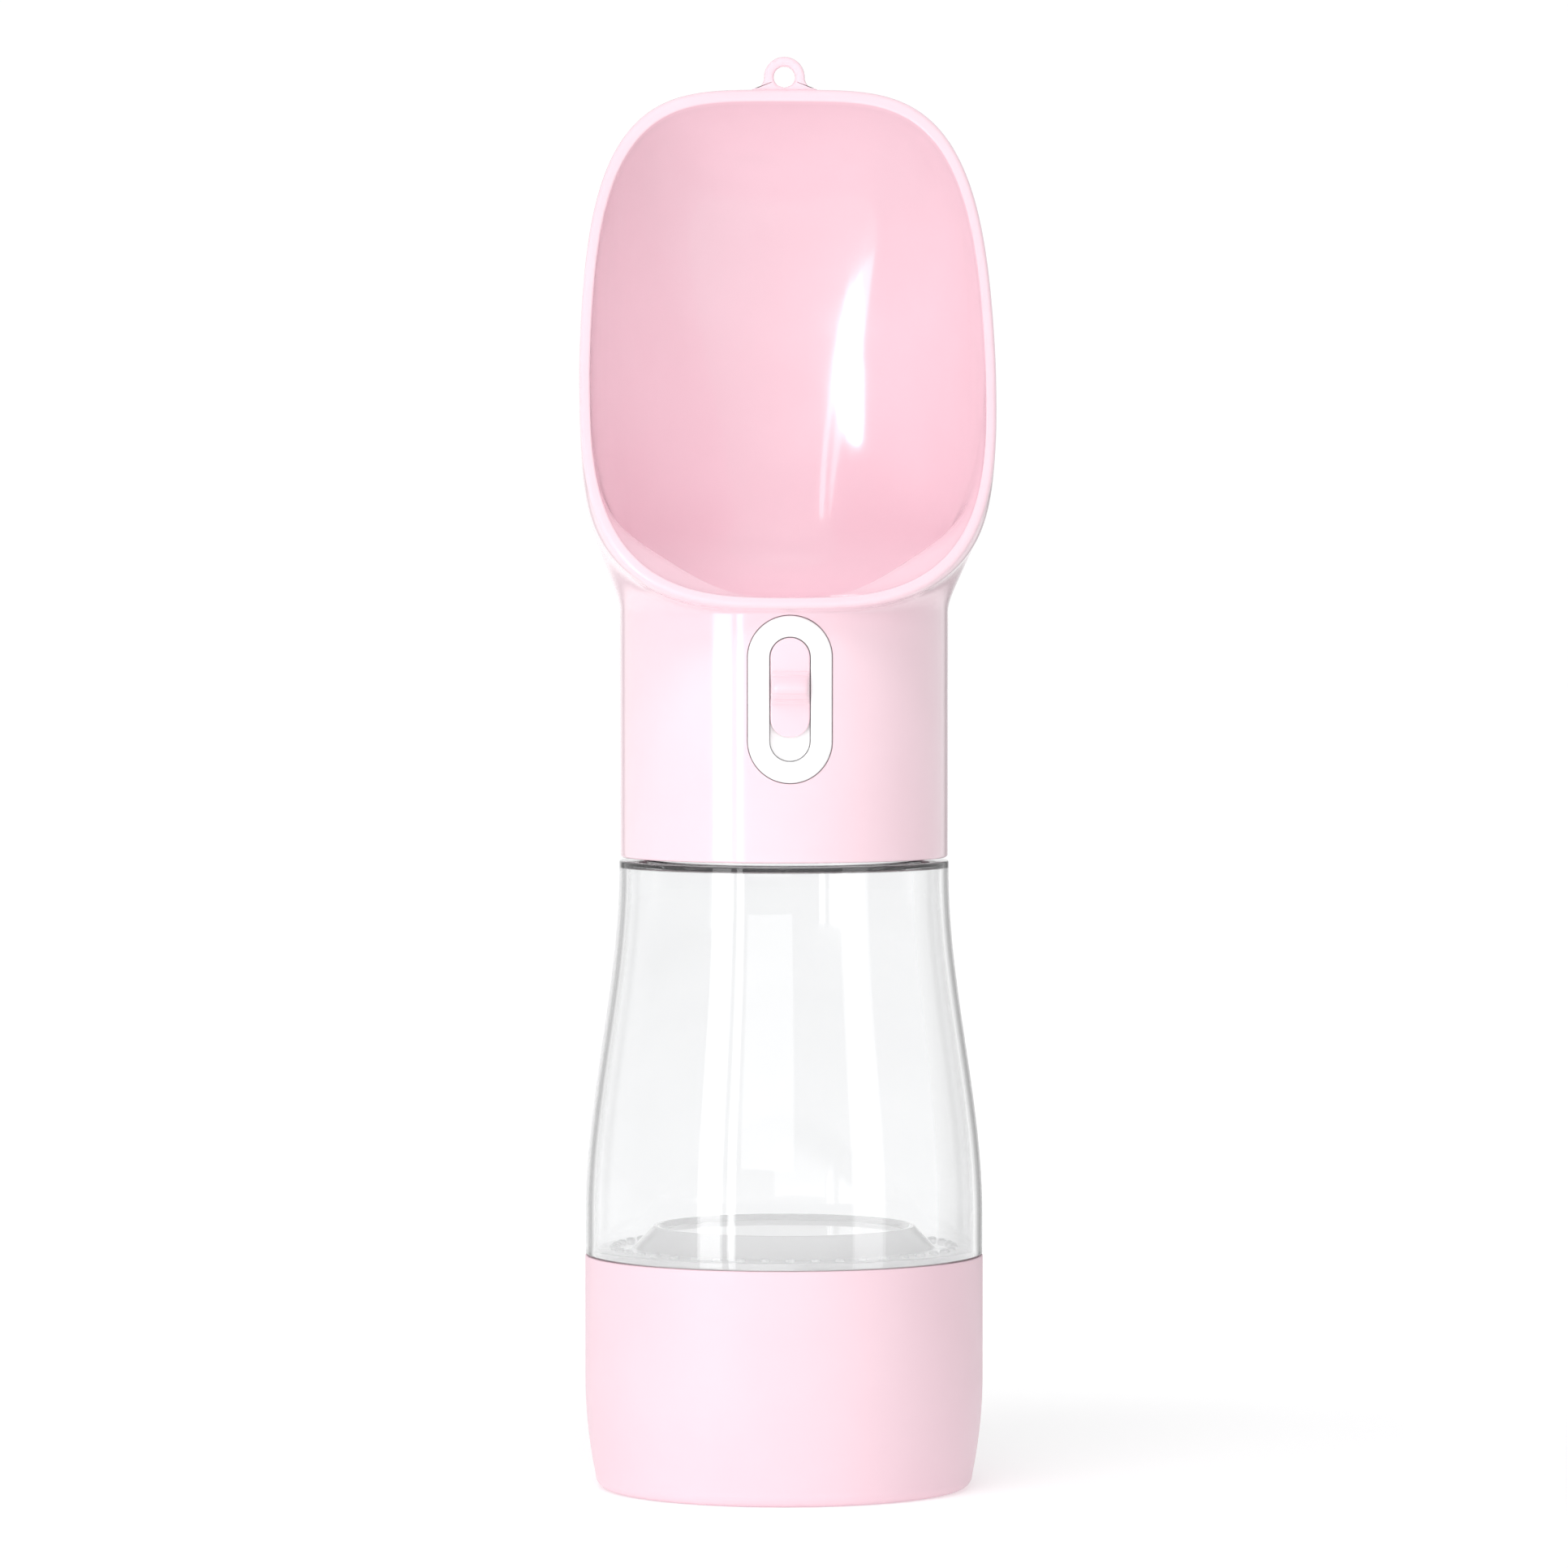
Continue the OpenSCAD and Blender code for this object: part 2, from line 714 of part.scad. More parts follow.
// The key fills the window behind the plate and shows as the floor of the slot
module press_key() {
    color(white)
    difference() {
        union() {
            translate([0, 0, switch_z])
                intersection() {
                    difference() {
                        stadium_y(key_w, key_h, -head_r, key_back_y);
                        stadium_y(
                            key_w - 2 * key_skirt_t, key_h - 2 * key_skirt_t,
                            key_web_y, key_back_y + 1
                        );
                    }
                    translate([0, 0, -plate_h]) cylinder(r = key_front_r, h = 2 * plate_h);
                }
            translate([0, 0, switch_z])
                stadium_y(
                    slot_w - 2 * slide_gap, slot_h - 2 * slide_gap, floor_y, key_web_y
                );
            translate([0, 0, valve_z]) rod_y(post_r, key_web_y - 0.5, poppet_front_y);
        }
        // Slot that the slider's stem runs in
        translate([
            -stem_w / 2 - slide_gap,
            -head_r - 1,
            stem_z - slider_travel - stem_h / 2 - 2 * slide_gap
        ])
            cube([
                stem_w + 2 * slide_gap,
                head_r + 1 + key_web_y + 0.5,
                stem_h + slider_travel + 4 * slide_gap
            ]);
    }
}

groove_h = 0.34;           // fine grooves across the thumb grip
groove_depth = 0.18;
grooves = [-3, -2.2, -1.2, 2, 2.9];

// How far the thumb grip stands out at height h from its middle
function grip_line(h) =
    let (
        t = min(1, abs(h) / (grip_h / 2)),
        cut = max([for (g = grooves) abs(h - g) < groove_h / 2 ? groove_depth : 0])
    )
    max(0.02, grip_out * (1 + cos(180 * t)) / 2 - cut);

module grip_outline() {
    steps = 60;
    polygon(concat(
        [[-1, -grip_h / 2]],
        [for (i = [0 : steps]) let (h = grip_h * (i / steps - 0.5)) [grip_line(h), h]],
        [[-1, grip_h / 2]]
    ));
}

slider_w = slot_w - 2 * slide_gap;

module lock_slider() {
    hook = 0.8;
    color(pink)
    translate([0, 0, slider_z])
        union() {
            intersection() {
                stadium_y(slider_w, slider_h, front_y, floor_y - 0.05);
                translate([0, 0, -slider_h]) cylinder(r = plate_out_r, h = 2 * slider_h);
            }
            translate([-slider_w / 2 + 0.1, -plate_out_r + 0.25, 0])
                rotate([90, 0, 90])
                    mirror([1, 0, 0])
                        linear_extrude(slider_w - 0.2)
                            grip_outline();
            translate([-stem_w / 2, floor_y - 0.5, stem_z - slider_z - stem_h / 2])
                cube([stem_w, key_web_y - floor_y + 2, stem_h]);
            translate([
                -stem_w / 2 - hook,
                key_web_y + 0.5,
                stem_z - slider_z - stem_h / 2
            ])
                cube([stem_w + 2 * hook, 1, stem_h]);
        }
}

// Leaf that presses the slider's hooks away from the key and makes it click
module detent_spring() {
    color(steel)
    translate([0, key_web_y + 0.1, stem_z])
        rotate([-90, 0, 0])
            linear_extrude(0.3)
                difference() {
                    square([stem_w + 3.4, stem_h + 1.6], center = true);
                    square([stem_w + 0.2, stem_h + 0.2], center = true);
                }
}

// ------------------------------------------------------------------ valve

seat_y = 0;                // rear face of the valve seat
seat_t = 1.5;
gland_in_y = gland_y + o_ring_t + 1.6;
chamber_end_y = seat_y + chamber_l;
cap_t = 1.6;
block_r = chamber_r + valve_wall;
gland_r = stem_r + fit_gap + o_ring_t;

// Deck, block with the valve chambers, and the chimney up to the bowl
module valve_body() {
    color(white)
    difference() {
        union() {
            translate([0, 0, deck_z]) cylinder(r = deck_r, h = deck_t);
            translate([0, 0, valve_z]) rod_y(block_r, gland_y, chamber_end_y);
            translate([-block_r, gland_y, deck_z + deck_t / 2])
                cube([2 * block_r, chamber_end_y - gland_y, valve_z - deck_z - deck_t / 2]);
            translate([0, -channel_y, valve_z])
                cylinder(
                    r = spout_r + 1.4,
                    h = ceiling_z - outlet_seal_t - valve_z
                );
            translate([0, -channel_y, valve_z])
                cylinder(r = spout_r, h = bowl_floor_z - 0.2 - valve_z);
        }
        // Chamber behind the seat, with the way in from the bottle
        translate([0, 0, valve_z]) rod_y(chamber_r, seat_y, chamber_end_y + 1);
        translate([0, channel_y, deck_z - 1]) cylinder(r = channel_r, h = valve_z - deck_z + 1);
        // Opening in the seat and chamber before it, with the way up to the bowl
        translate([0, 0, valve_z]) rod_y(seat_r, gland_in_y + 1, seat_y + 1);
        translate([0, -channel_y, valve_z]) cylinder(r = channel_r, h = ceiling_z);
        // Gland for the stem and its seal
        translate([0, 0, valve_z]) rod_y(stem_r + fit_gap, gland_y - 1, seat_y);
        translate([0, 0, valve_z]) rod_y(gland_r, gland_y - 1, gland_in_y);
        // Holes for the deck screws
        for (a = screw_angles)
            rotate([0, 0, a])
                translate([screw_circle_r, 0, deck_z - 1])
                    cylinder(r = screw_r + fit_gap, h = deck_t + 2);
    }
}

module outlet_seal() {
    color(rubber)
    translate([0, -channel_y, ceiling_z - outlet_seal_t])
        tube(spout_r + 1.3, spout_r + fit_gap, outlet_seal_t);
}

module stem_o_ring() {
    color(rubber)
    translate([0, gland_in_y - o_ring_t / 2 - 0.1, valve_z])
        rotate([90, 0, 0])
            o_ring(stem_r + 0.03, o_ring_t);
}

module gland_ring() {
    color(white)
    translate([0, 0, valve_z])
        tube_y(gland_r - 0.02, stem_r + fit_gap, gland_y - 0.4, gland_in_y - o_ring_t - 0.2);
}

module valve_end_cap() {
    color(white)
    translate([0, 0, valve_z])
        difference() {
            union() {
                rod_y(block_r, chamber_end_y + seat_gap / 2, chamber_end_y + cap_t);
                rod_y(chamber_r - fit_gap, chamber_end_y - 3, chamber_end_y + cap_t);
            }
            // Groove for the seal, and the spring's seat
            tube_y(
                chamber_r + 1, chamber_r - o_ring_t,
                chamber_end_y - 2.1, chamber_end_y - 2.1 + o_ring_t + 0.2
            );
            rod_y(chamber_r - 1.4, chamber_end_y - 4, chamber_end_y - 2);
        }
}

module cap_o_ring() {
    color(rubber)
    translate([0, chamber_end_y - 1.5, valve_z])
        rotate([90, 0, 0])
            o_ring(chamber_r - o_ring_t + 0.02, o_ring_t - 0.05);
}

module deck_screws() {
    head_h = 1.8;
    head_rad = screw_r + 1.2;
    color(steel)
    for (a = screw_angles)
        rotate([0, 0, a])
            translate([screw_circle_r, 0, deck_z])
                difference() {
                    union() {
                        cylinder(r = screw_r, h = screw_l);
                        translate([0, 0, -head_h]) cylinder(r = head_rad, h = head_h);
                    }
                    for (b = [0, 90])
                        rotate([0, 0, b])
                            translate([-head_rad * 0.6, -0.3, -head_h - 1])
                                cube([head_rad * 1.2, 0.6, 1.9]);
                }
}

poppet_r = chamber_r - 0.6;
poppet_y = seat_y + poppet_seal_t;

module valve_poppet() {
    color(white)
    translate([0, 0, valve_z])
        union() {
            rod_y(stem_r, poppet_front_y, poppet_y);
            rod_y(poppet_r, poppet_y, poppet_y + poppet_t);
            rod_y(stem_r + 0.4, poppet_y, poppet_y + poppet_t + 1.6);
        }
}

module poppet_seal() {
    color(rubber)
    translate([0, 0, valve_z])
        tube_y(poppet_r - 0.1, stem_r + 0.02, seat_y, poppet_y);
}

// The valve spring, drawn as the sleeve that its coils fill
module valve_spring() {
    color(steel)
    translate([0, 0, valve_z])
        tube_y(
            chamber_r - 1.5, chamber_r - 1.5 - spring_wire,
            poppet_y + poppet_t, chamber_end_y - 2
        );
}

food_cup();
food_gasket();
bottle_base();
water_bottle();
neck_gasket();
head_shell();
translate([0, 0, switch_z]) switch_plate();
valve_body();
outlet_seal();
gland_ring();
stem_o_ring();
valve_end_cap();
cap_o_ring();
deck_screws();
valve_spring();
press_key();
valve_poppet();
poppet_seal();
lock_slider();
detent_spring();
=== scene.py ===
"""Looks of the travel water bottle for dogs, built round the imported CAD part.

Lengths of the part are in millimetres, and lengths of the studio are in metres."""

import math

import bmesh
import bpy
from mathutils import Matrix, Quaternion, Vector
from mathutils.bvhtree import BVHTree

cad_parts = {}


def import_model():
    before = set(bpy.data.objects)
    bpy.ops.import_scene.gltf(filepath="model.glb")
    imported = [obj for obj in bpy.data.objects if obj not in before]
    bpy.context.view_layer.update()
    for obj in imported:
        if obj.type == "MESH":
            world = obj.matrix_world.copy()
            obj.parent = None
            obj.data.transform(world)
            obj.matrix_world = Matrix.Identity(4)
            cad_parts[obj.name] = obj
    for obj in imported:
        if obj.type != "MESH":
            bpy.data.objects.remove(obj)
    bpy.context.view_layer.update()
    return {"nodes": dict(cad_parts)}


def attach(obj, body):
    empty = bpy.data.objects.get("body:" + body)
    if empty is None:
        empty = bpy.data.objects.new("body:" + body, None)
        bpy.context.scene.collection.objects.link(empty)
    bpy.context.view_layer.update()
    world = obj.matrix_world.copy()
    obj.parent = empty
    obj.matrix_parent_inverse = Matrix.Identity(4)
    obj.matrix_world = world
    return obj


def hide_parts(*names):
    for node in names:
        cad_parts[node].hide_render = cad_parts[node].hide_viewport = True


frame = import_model()

MM = 0.001

# Sizes from part.scad, in millimetres. CUP_PROUD is 0.01 less, so that the cup stays inside the CAD's box.
CUP_PROUD, CUP_H, CUP_WALL, CUP_FLOOR = 0.05, 40.9, 2.2, 2.2
CUP_CURVE_H, CUP_CURVE_IN, CUP_FILLET, CUP_IN_FILLET = 17.6, 1.8, 2.2, 2.4
BOTTLE_R, BOTTLE_H, BOTTLE_WALL, NECK_H, NECK_WALL = 34.8, 68.9, 1.6, 12.0, 2.2
FOOT_STRAIGHT, SHOULDER_STRAIGHT, SHOULDER_PROUD = 6.9, 2.0, 0.15
HAT_INSET, HAT_SLOPE, HAT_H, HAT_DISH, BASE_T = 6.75, 3.4, 3.8, 1.0, 1.6
SPIGOT_INSET, SPIGOT_WALL, SPIGOT_L = 2.15, 1.8, 12.4
BUMPS, BUMP_R, BUMP_H = 44, 0.9, 0.6
PITCH, TOOTH, TOOTH_FOOT, TOOTH_CREST, TURNS, THREAD_GAP = 4.0, 0.9, 1.9, 0.8, 1.5, 0.4
FOOD_GASKET_T, NECK_GASKET_T, SEAT_GAP, FIT_GAP = 1.2, 1.3, 0.1, 0.05
HEAD_R, SKIRT_GAP, SKIRT_H, THREAD_WALL, SKIRT_WALL = 28.7, 0.6, 42.8, 3.2, 2.5
BOWL_HALF_W, BOWL_UP, BOWL_LOW, BOWL_FLOOR_T, BOWL_FILLET, BULGE = 36.0, 49.7, 40.3, 2.2, 14.0, 2.2
SQUARE_UP, SQUARE_LOW, RIM_TAPER, RIM_LEAN = 4.0, 3.1, 0.11, math.radians(17.5)
LIP_OUT, LIP_RISE, RIM_W, RIM_ROUND, RIM_IN_TOP, RIM_IN_LIP = 2.8, 1.25, 1.8, 0.8, 1.25, 0.95
LOOP_HOLE, LOOP_BAND, LOOP_T, LOOP_FLARE = 1.85, 1.7, 3.2, 2.15
PLATE_W, PLATE_H, PLATE_T, PLATE_PROUD = 14.5, 28.8, 1.8, 0.3
SLOT_W, SLOT_H, SLIDER_H, SLIDER_T, SLIDE_GAP, KEY_EDGE = 7.1, 21.5, 17.1, 1.4, 0.15, 1.45
GRIP_H, GRIP_OUT, GROOVES = 6.7, 2.3, (-3.0, -2.2, -1.2, 2.0, 2.9)
STEM_W, STEM_H, CHANNEL_R, CHANNEL_Y = 3.0, 4.6, 2.6, 5.2

# Heights that follow from them, from the foot up
BOTTLE_Z = CUP_H + 0.2
FLANGE_Z = BOTTLE_Z - 0.5
CUP_SEAT_Z = FLANGE_Z - FOOD_GASKET_T - SEAT_GAP
SPIGOT_THREAD_Z = FLANGE_Z - SPIGOT_L + 1.6
TAPER_H = BOTTLE_H - FOOT_STRAIGHT - SHOULDER_STRAIGHT
SHOULDER_Z = BOTTLE_Z + BOTTLE_H
NECK_THREAD_Z = SHOULDER_Z + 3
NECK_TOP = SHOULDER_Z + NECK_H
DECK_Z = NECK_TOP + NECK_GASKET_T
SKIRT_Z = SHOULDER_Z + SKIRT_GAP
CEILING = SKIRT_Z + SKIRT_H
BOWL_FLOOR = CEILING + BOWL_FLOOR_T
LIP_Z = CEILING + LIP_RISE
RIM_MID = LIP_Z + BOWL_LOW
RIM_TOP = RIM_MID + BOWL_UP
LOOP_Z = RIM_TOP + LOOP_HOLE + 0.15
SWITCH_Z = CEILING - 0.2 - PLATE_H / 2
SLIDER_Z = SWITCH_Z + SLOT_H / 2 - SLIDE_GAP - SLIDER_H / 2
STEM_Z = SLIDER_Z + 2.6

# Radii, widths and depths that follow from them
CUP_R = BOTTLE_R + CUP_PROUD
FLANGE_R = BOTTLE_R - BOTTLE_WALL - FIT_GAP
CUP_SEAT_R = FLANGE_R + 0.35
SPIGOT_R = FLANGE_R - SPIGOT_INSET
CUP_IN_R = SPIGOT_R + TOOTH + THREAD_GAP + 0.1
HAT_LOW_R = FLANGE_R - HAT_INSET
HAT_TOP_R = HAT_LOW_R - HAT_SLOPE
SHOULDER_R = HEAD_R + SHOULDER_PROUD
SKIRT_IN_R = HEAD_R - THREAD_WALL
CAVITY_R = HEAD_R - SKIRT_WALL
NECK_R = SKIRT_IN_R - TOOTH - THREAD_GAP
SPOUT_HOLE_R = CHANNEL_R + 0.8 + FIT_GAP
LIP_Y = -(HEAD_R + LIP_OUT)
LOOP_Y = LIP_Y + (RIM_TOP - LIP_Z) * math.tan(RIM_LEAN) + 2.3
PLATE_OUT = HEAD_R + PLATE_PROUD
PLATE_IN = PLATE_OUT - PLATE_T
WINDOW_W = SLOT_W + 2 * KEY_EDGE + 4 * SLIDE_GAP
WINDOW_H = SLOT_H + 2 * KEY_EDGE - 0.4 + 4 * SLIDE_GAP
SLIDER_W = SLOT_W - 2 * SLIDE_GAP
FLOOR_Y = -(PLATE_OUT - SLIDER_T - 0.05)
WEB_Y = -PLATE_IN + 2.3

# Sizes that only the looks have, in millimetres
CUP_RECESS_R, CUP_RECESS_H = 25.5, 0.35
SHOULDER_T = 1.0
GROOVE_DEPTH, GROOVE_HALF_H = 0.16, 0.2
FACETS, RIM_FACETS = 256, 288

# The camera: places in metres, its turn in degrees, lens and sensor in millimetres
CAMERA_FAR, CAMERA_Z, CAMERA_TURN, LOOK_Z = 1.476, 0.174, 2.1, 0.1233
LENS, SENSOR_W = 193.7, 36.0


# ------------------------------------------------------------- materials

def new_material(name):
    """A new material, its node tree and its shader."""
    material = bpy.data.materials.new(name)
    material.use_nodes = True
    tree = material.node_tree
    return material, tree, tree.nodes["Principled BSDF"]


def coordinate(tree, space, axis):
    """One axis of a texture space, as a value."""
    where = tree.nodes.new("ShaderNodeTexCoord")
    split = tree.nodes.new("ShaderNodeSeparateXYZ")
    tree.links.new(where.outputs[space], split.inputs["Vector"])
    return split.outputs[axis]


def noise(tree, scale, detail):
    """A noise in object space. Scale is in features per metre."""
    where = tree.nodes.new("ShaderNodeTexCoord")
    texture = tree.nodes.new("ShaderNodeTexNoise")
    texture.inputs["Scale"].default_value = scale
    texture.inputs["Detail"].default_value = detail
    tree.links.new(where.outputs["Object"], texture.inputs["Vector"])
    return texture.outputs["Fac"]


def spread(tree, value, low, high):
    """Brings the middle of a noise to the range from low to high."""
    node = tree.nodes.new("ShaderNodeMapRange")
    node.inputs["From Min"].default_value = 0.3
    node.inputs["From Max"].default_value = 0.7
    node.inputs["To Min"].default_value = low
    node.inputs["To Max"].default_value = high
    tree.links.new(value, node.inputs["Value"])
    return node.outputs["Result"]


def tint(tree, value, first, second):
    """Blends two colours by a noise."""
    ramp = tree.nodes.new("ShaderNodeValToRGB")
    ramp.color_ramp.elements[0].position = 0.3
    ramp.color_ramp.elements[0].color = (*first, 1)
    ramp.color_ramp.elements[1].position = 0.7
    ramp.color_ramp.elements[1].color = (*second, 1)
    tree.links.new(value, ramp.inputs["Fac"])
    return ramp.outputs["Color"]


def bump(tree, shader, layers):
    """Stacks bumps. Each layer is (height, strength, depth in metres)."""
    last = None
    for height, strength, depth in layers:
        node = tree.nodes.new("ShaderNodeBump")
        node.inputs["Strength"].default_value = strength
        node.inputs["Distance"].default_value = depth
        tree.links.new(height, node.inputs["Height"])
        if last:
            tree.links.new(last, node.inputs["Normal"])
        last = node.outputs["Normal"]
    tree.links.new(last, shader.inputs["Normal"])


def surface(name, clouds, first, second, sheen, rough, bumps):
    """A material with clouds of two colours, a roughness that varies, and bumps.

    clouds and sheen are the (scale, detail) of a noise, and each bump is (scale, detail, strength, depth)."""
    material, tree, shader = new_material(name)
    tree.links.new(tint(tree, noise(tree, *clouds), first, second), shader.inputs["Base Color"])
    tree.links.new(spread(tree, noise(tree, *sheen), *rough), shader.inputs["Roughness"])
    layers = [(noise(tree, scale, detail), strength, depth) for scale, detail, strength, depth in bumps]
    bump(tree, shader, layers)
    return material, tree, shader


def moulded(name, first, second, rough, ripple=0.06, grain=0.0, coat=0.0):
    """Moulded plastic: faint clouds in the colour, a sheen that varies, slow ripples and a fine grain."""
    bumps = [(70, 2, ripple, 0.0004)]
    if grain:
        bumps.append((4200, 2, grain, 0.00003))
    material, _, shader = surface(name, (38, 4), first, second, (160, 5), rough, bumps)
    shader.inputs["IOR"].default_value = 1.5
    shader.inputs["Coat Weight"].default_value = coat
    shader.inputs["Coat Roughness"].default_value = 0.06
    return material


def clear_plastic(name, low, high, clear, density):
    """Clear plastic that takes a little light all through. Where clear is below 1, it is milky and also
    glows: a painted glow that stands in for the light that reaches it through the clear bottle.
    """
    bumps = [(30, 1, 0.04, 0.0006)]
    material, tree, shader = surface(name, (24, 2), low, high, (120, 4), (0.0, 0.03), bumps)
    shader.inputs["Transmission Weight"].default_value = clear
    shader.inputs["IOR"].default_value = 1.49
    # Painted glow: the milky part gives off a little white light of its own, in place of light that comes
    # through the clear bottle
    shader.inputs["Emission Color"].default_value = (1, 1, 1, 1)
    shader.inputs["Emission Strength"].default_value = 0.2 * (1 - clear)
    inside = tree.nodes.new("ShaderNodeVolumeAbsorption")
    inside.inputs["Color"].default_value = (0.55, 0.56, 0.57, 1)
    inside.inputs["Density"].default_value = density
    tree.links.new(inside.outputs["Volume"], tree.nodes["Material Output"].inputs["Volume"])
    return material


def silicone():
    """Matte grey rubber of the seals."""
    low, high, bumps = (0.62, 0.62, 0.63), (0.72, 0.72, 0.73), [(2500, 3, 0.2, 0.00005)]
    material, _, shader = surface("silicone", (60, 4), low, high, (300, 4), (0.45, 0.65), bumps)
    shader.inputs["Sheen Weight"].default_value = 0.2
    return material


def steel():
    """Bright steel of the springs and screws."""
    low, high, bumps = (0.55, 0.56, 0.58), (0.68, 0.69, 0.7), [(3000, 2, 0.15, 0.00003)]
    material, _, shader = surface("spring_steel", (200, 4), low, high, (900, 4), (0.18, 0.34), bumps)
    shader.inputs["Metallic"].default_value = 1.0
    return material


PINK_GLOSS = moulded(
    "pink_gloss", (0.88, 0.635, 0.705), (0.905, 0.67, 0.74), rough=(0.1, 0.18), coat=0.5
)
PINK_SATIN = moulded(
    "pink_satin", (0.85, 0.615, 0.685), (0.875, 0.64, 0.71), rough=(0.34, 0.46), ripple=0.04, grain=0.25
)
WHITE = moulded(
    "white_plastic", (0.88, 0.88, 0.88), (0.92, 0.92, 0.92), rough=(0.24, 0.34), ripple=0.04, grain=0.12
)
CLEAR = clear_plastic(
    "clear_plastic", (0.935, 0.938, 0.94), (0.945, 0.948, 0.95), clear=1.0, density=16.0
)
# The bottle's base: milky plastic with a painted glow standing in for light that comes through the clear
# bottle
MILKY_PAINTED_GLOW = clear_plastic(
    "clear_plastic_base", (0.95, 0.952, 0.954), (0.97, 0.972, 0.974), clear=0.35, density=2.0
)
SILICONE = silicone()
STEEL = steel()


# --------------------------------------------------------------- meshes

def build(name, points, faces, material, sharp=32):
    """A mesh object from points in millimetres, smooth except where faces meet at more than sharp degrees."""
    mesh = bpy.data.meshes.new(name)
    mesh.from_pydata([Vector(p) * MM for p in points], [], faces)
    work = bmesh.new()
    work.from_mesh(mesh)
    bmesh.ops.remove_doubles(work, verts=work.verts, dist=1e-7)
    bmesh.ops.recalc_face_normals(work, faces=work.faces)
    work.to_mesh(mesh)
    work.free()
    mesh.shade_smooth()
    mesh.set_sharp_from_angle(angle=math.radians(sharp))
    mesh.materials.append(material)
    obj = bpy.data.objects.new(name, mesh)
    bpy.context.collection.objects.link(obj)
    return obj


def place(obj, body, slot, *nodes):
    """Puts a piece on its body and in the place of CAD nodes, which it hides. The slot is not used."""
    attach(obj, body)
    if nodes:
        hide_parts(*nodes)


def strips(rings, closed=False):
    """Points and faces that join rings of equal length, each to the next."""
    m, n = len(rings[0]), len(rings)
    points = [p for ring in rings for p in ring]
    faces = [
        (i % n * m + j, i % n * m + (j + 1) % m, (i + 1) % n * m + (j + 1) % m, (i + 1) % n * m + j)
        for i in range(n if closed else n - 1)
        for j in range(m)
    ]
    return points, faces


def capped(rings):
    """Points and faces of rings joined in a row, with both ends closed."""
    points, faces = strips(rings)
    count = len(rings[0])
    return points, faces + [tuple(range(count)), tuple(len(points) - 1 - k for k in range(count))]


def shares(count, first=0):
    """Even steps from first / count up to 1."""
    return [i / count for i in range(first, count + 1)]


def quarter(size, t):
    """How far a rounded edge lies in from two faces, t of the way round its quarter circle."""
    b = math.pi / 2 * t
    return size * (1 - math.cos(b)), size * (1 - math.sin(b))


def arc(r, z, size, start, end, steps=6):
    """Points of an arc in an outline, from start to end degrees."""
    angles = [math.radians(start + (end - start) * t) for t in shares(steps)]
    return [(r + size * math.cos(a), z + size * math.sin(a)) for a in angles]


def full_turn(sides):
    """Even angles once round the Z axis."""
    return [2 * math.pi * j / sides for j in range(sides)]


def circle(r, z, turn):
    """A ring of radius r at height z, with a point at each angle of turn."""
    return [(r * math.cos(a), r * math.sin(a), z) for a in turn]


def lathe(outline, sides=FACETS, closed=True):
    """Turns an outline of (radius, height) round the Z axis."""
    turn = full_turn(sides)
    return strips([circle(r, z, turn) for r, z in outline], closed)


def merge(*parts):
    """One list of points and faces from several."""
    points, faces = [], []
    for some_points, some_faces in parts:
        base = len(points)
        points += some_points
        faces += [tuple(base + k for k in face) for face in some_faces]
    return points, faces


def thread(r, out, z0, phase=0.0):
    """A screw thread that stands out from radius r, or in where out is -1.

    Its foot lies bury deep in the wall. It grows from a stub to its full height over lead degrees."""
    bury, lead, stub, per_turn, round_edge = 0.3, 40.0, 3.0, 96, 0.2
    span = 360 * TURNS
    slope = (TOOTH_FOOT - TOOTH_CREST) / (2 * TOOTH)
    foot = TOOTH_FOOT / 2 + bury * slope
    rings = []
    for t in shares(round(TURNS * per_turn)):
        a = span * t
        tooth = TOOTH * min(1, (a + stub) / lead, (span - a + stub) / lead)
        z = z0 + PITCH * (a + phase) / 360
        tip = TOOTH_CREST / 2 + slope * (TOOTH - tooth)
        edge = min(round_edge, tooth / 3)
        section = [(-bury, -foot), (tooth - edge, -tip - edge * slope), (tooth, -tip + edge)]
        section += [(p, -q) for p, q in section[::-1]]
        c, s = math.cos(math.radians(a)), math.sin(math.radians(a))
        rings.append([((r + out * p) * c, (r + out * p) * s, z + q) for p, q in section])
    return capped(rings)


def carve(obj, name, points, faces, sharp=32):
    """Cuts the closed mesh of points and faces out of obj."""
    cutter = build(name, points, faces, PINK_GLOSS)
    cut = obj.modifiers.new("cut", "BOOLEAN")
    cut.operation, cut.solver, cut.object = "DIFFERENCE", "EXACT", cutter
    seen = bpy.context.evaluated_depsgraph_get()
    mesh = bpy.data.meshes.new_from_object(obj.evaluated_get(seen))
    obj.modifiers.clear()
    obj.data = mesh
    bpy.data.objects.remove(cutter)
    mesh.set_sharp_from_angle(angle=math.radians(sharp))


def stadium(w, h, count=128, square=2.0):
    """Outline of an upright slot. Square above 2 flattens its round ends."""
    points = []
    for k in range(count):
        a = 2 * math.pi * (k + 0.5) / count
        c, s = math.cos(a), math.sin(a)
        x = w / 2 * math.copysign(abs(c) ** (2 / square), c)
        z = w / 2 * math.copysign(abs(s) ** (2 / square), s)
        points.append((x, z + math.copysign((h - w) / 2, s)))
    return points


def on_skirt(outline, r, z0):
    """Lays an outline of (x, z) on the cylinder of radius r, round height z0."""
    return [(x, -math.sqrt(r * r - x * x), z0 + z) for x, z in outline]


# ------------------------------------------------------------- food cup

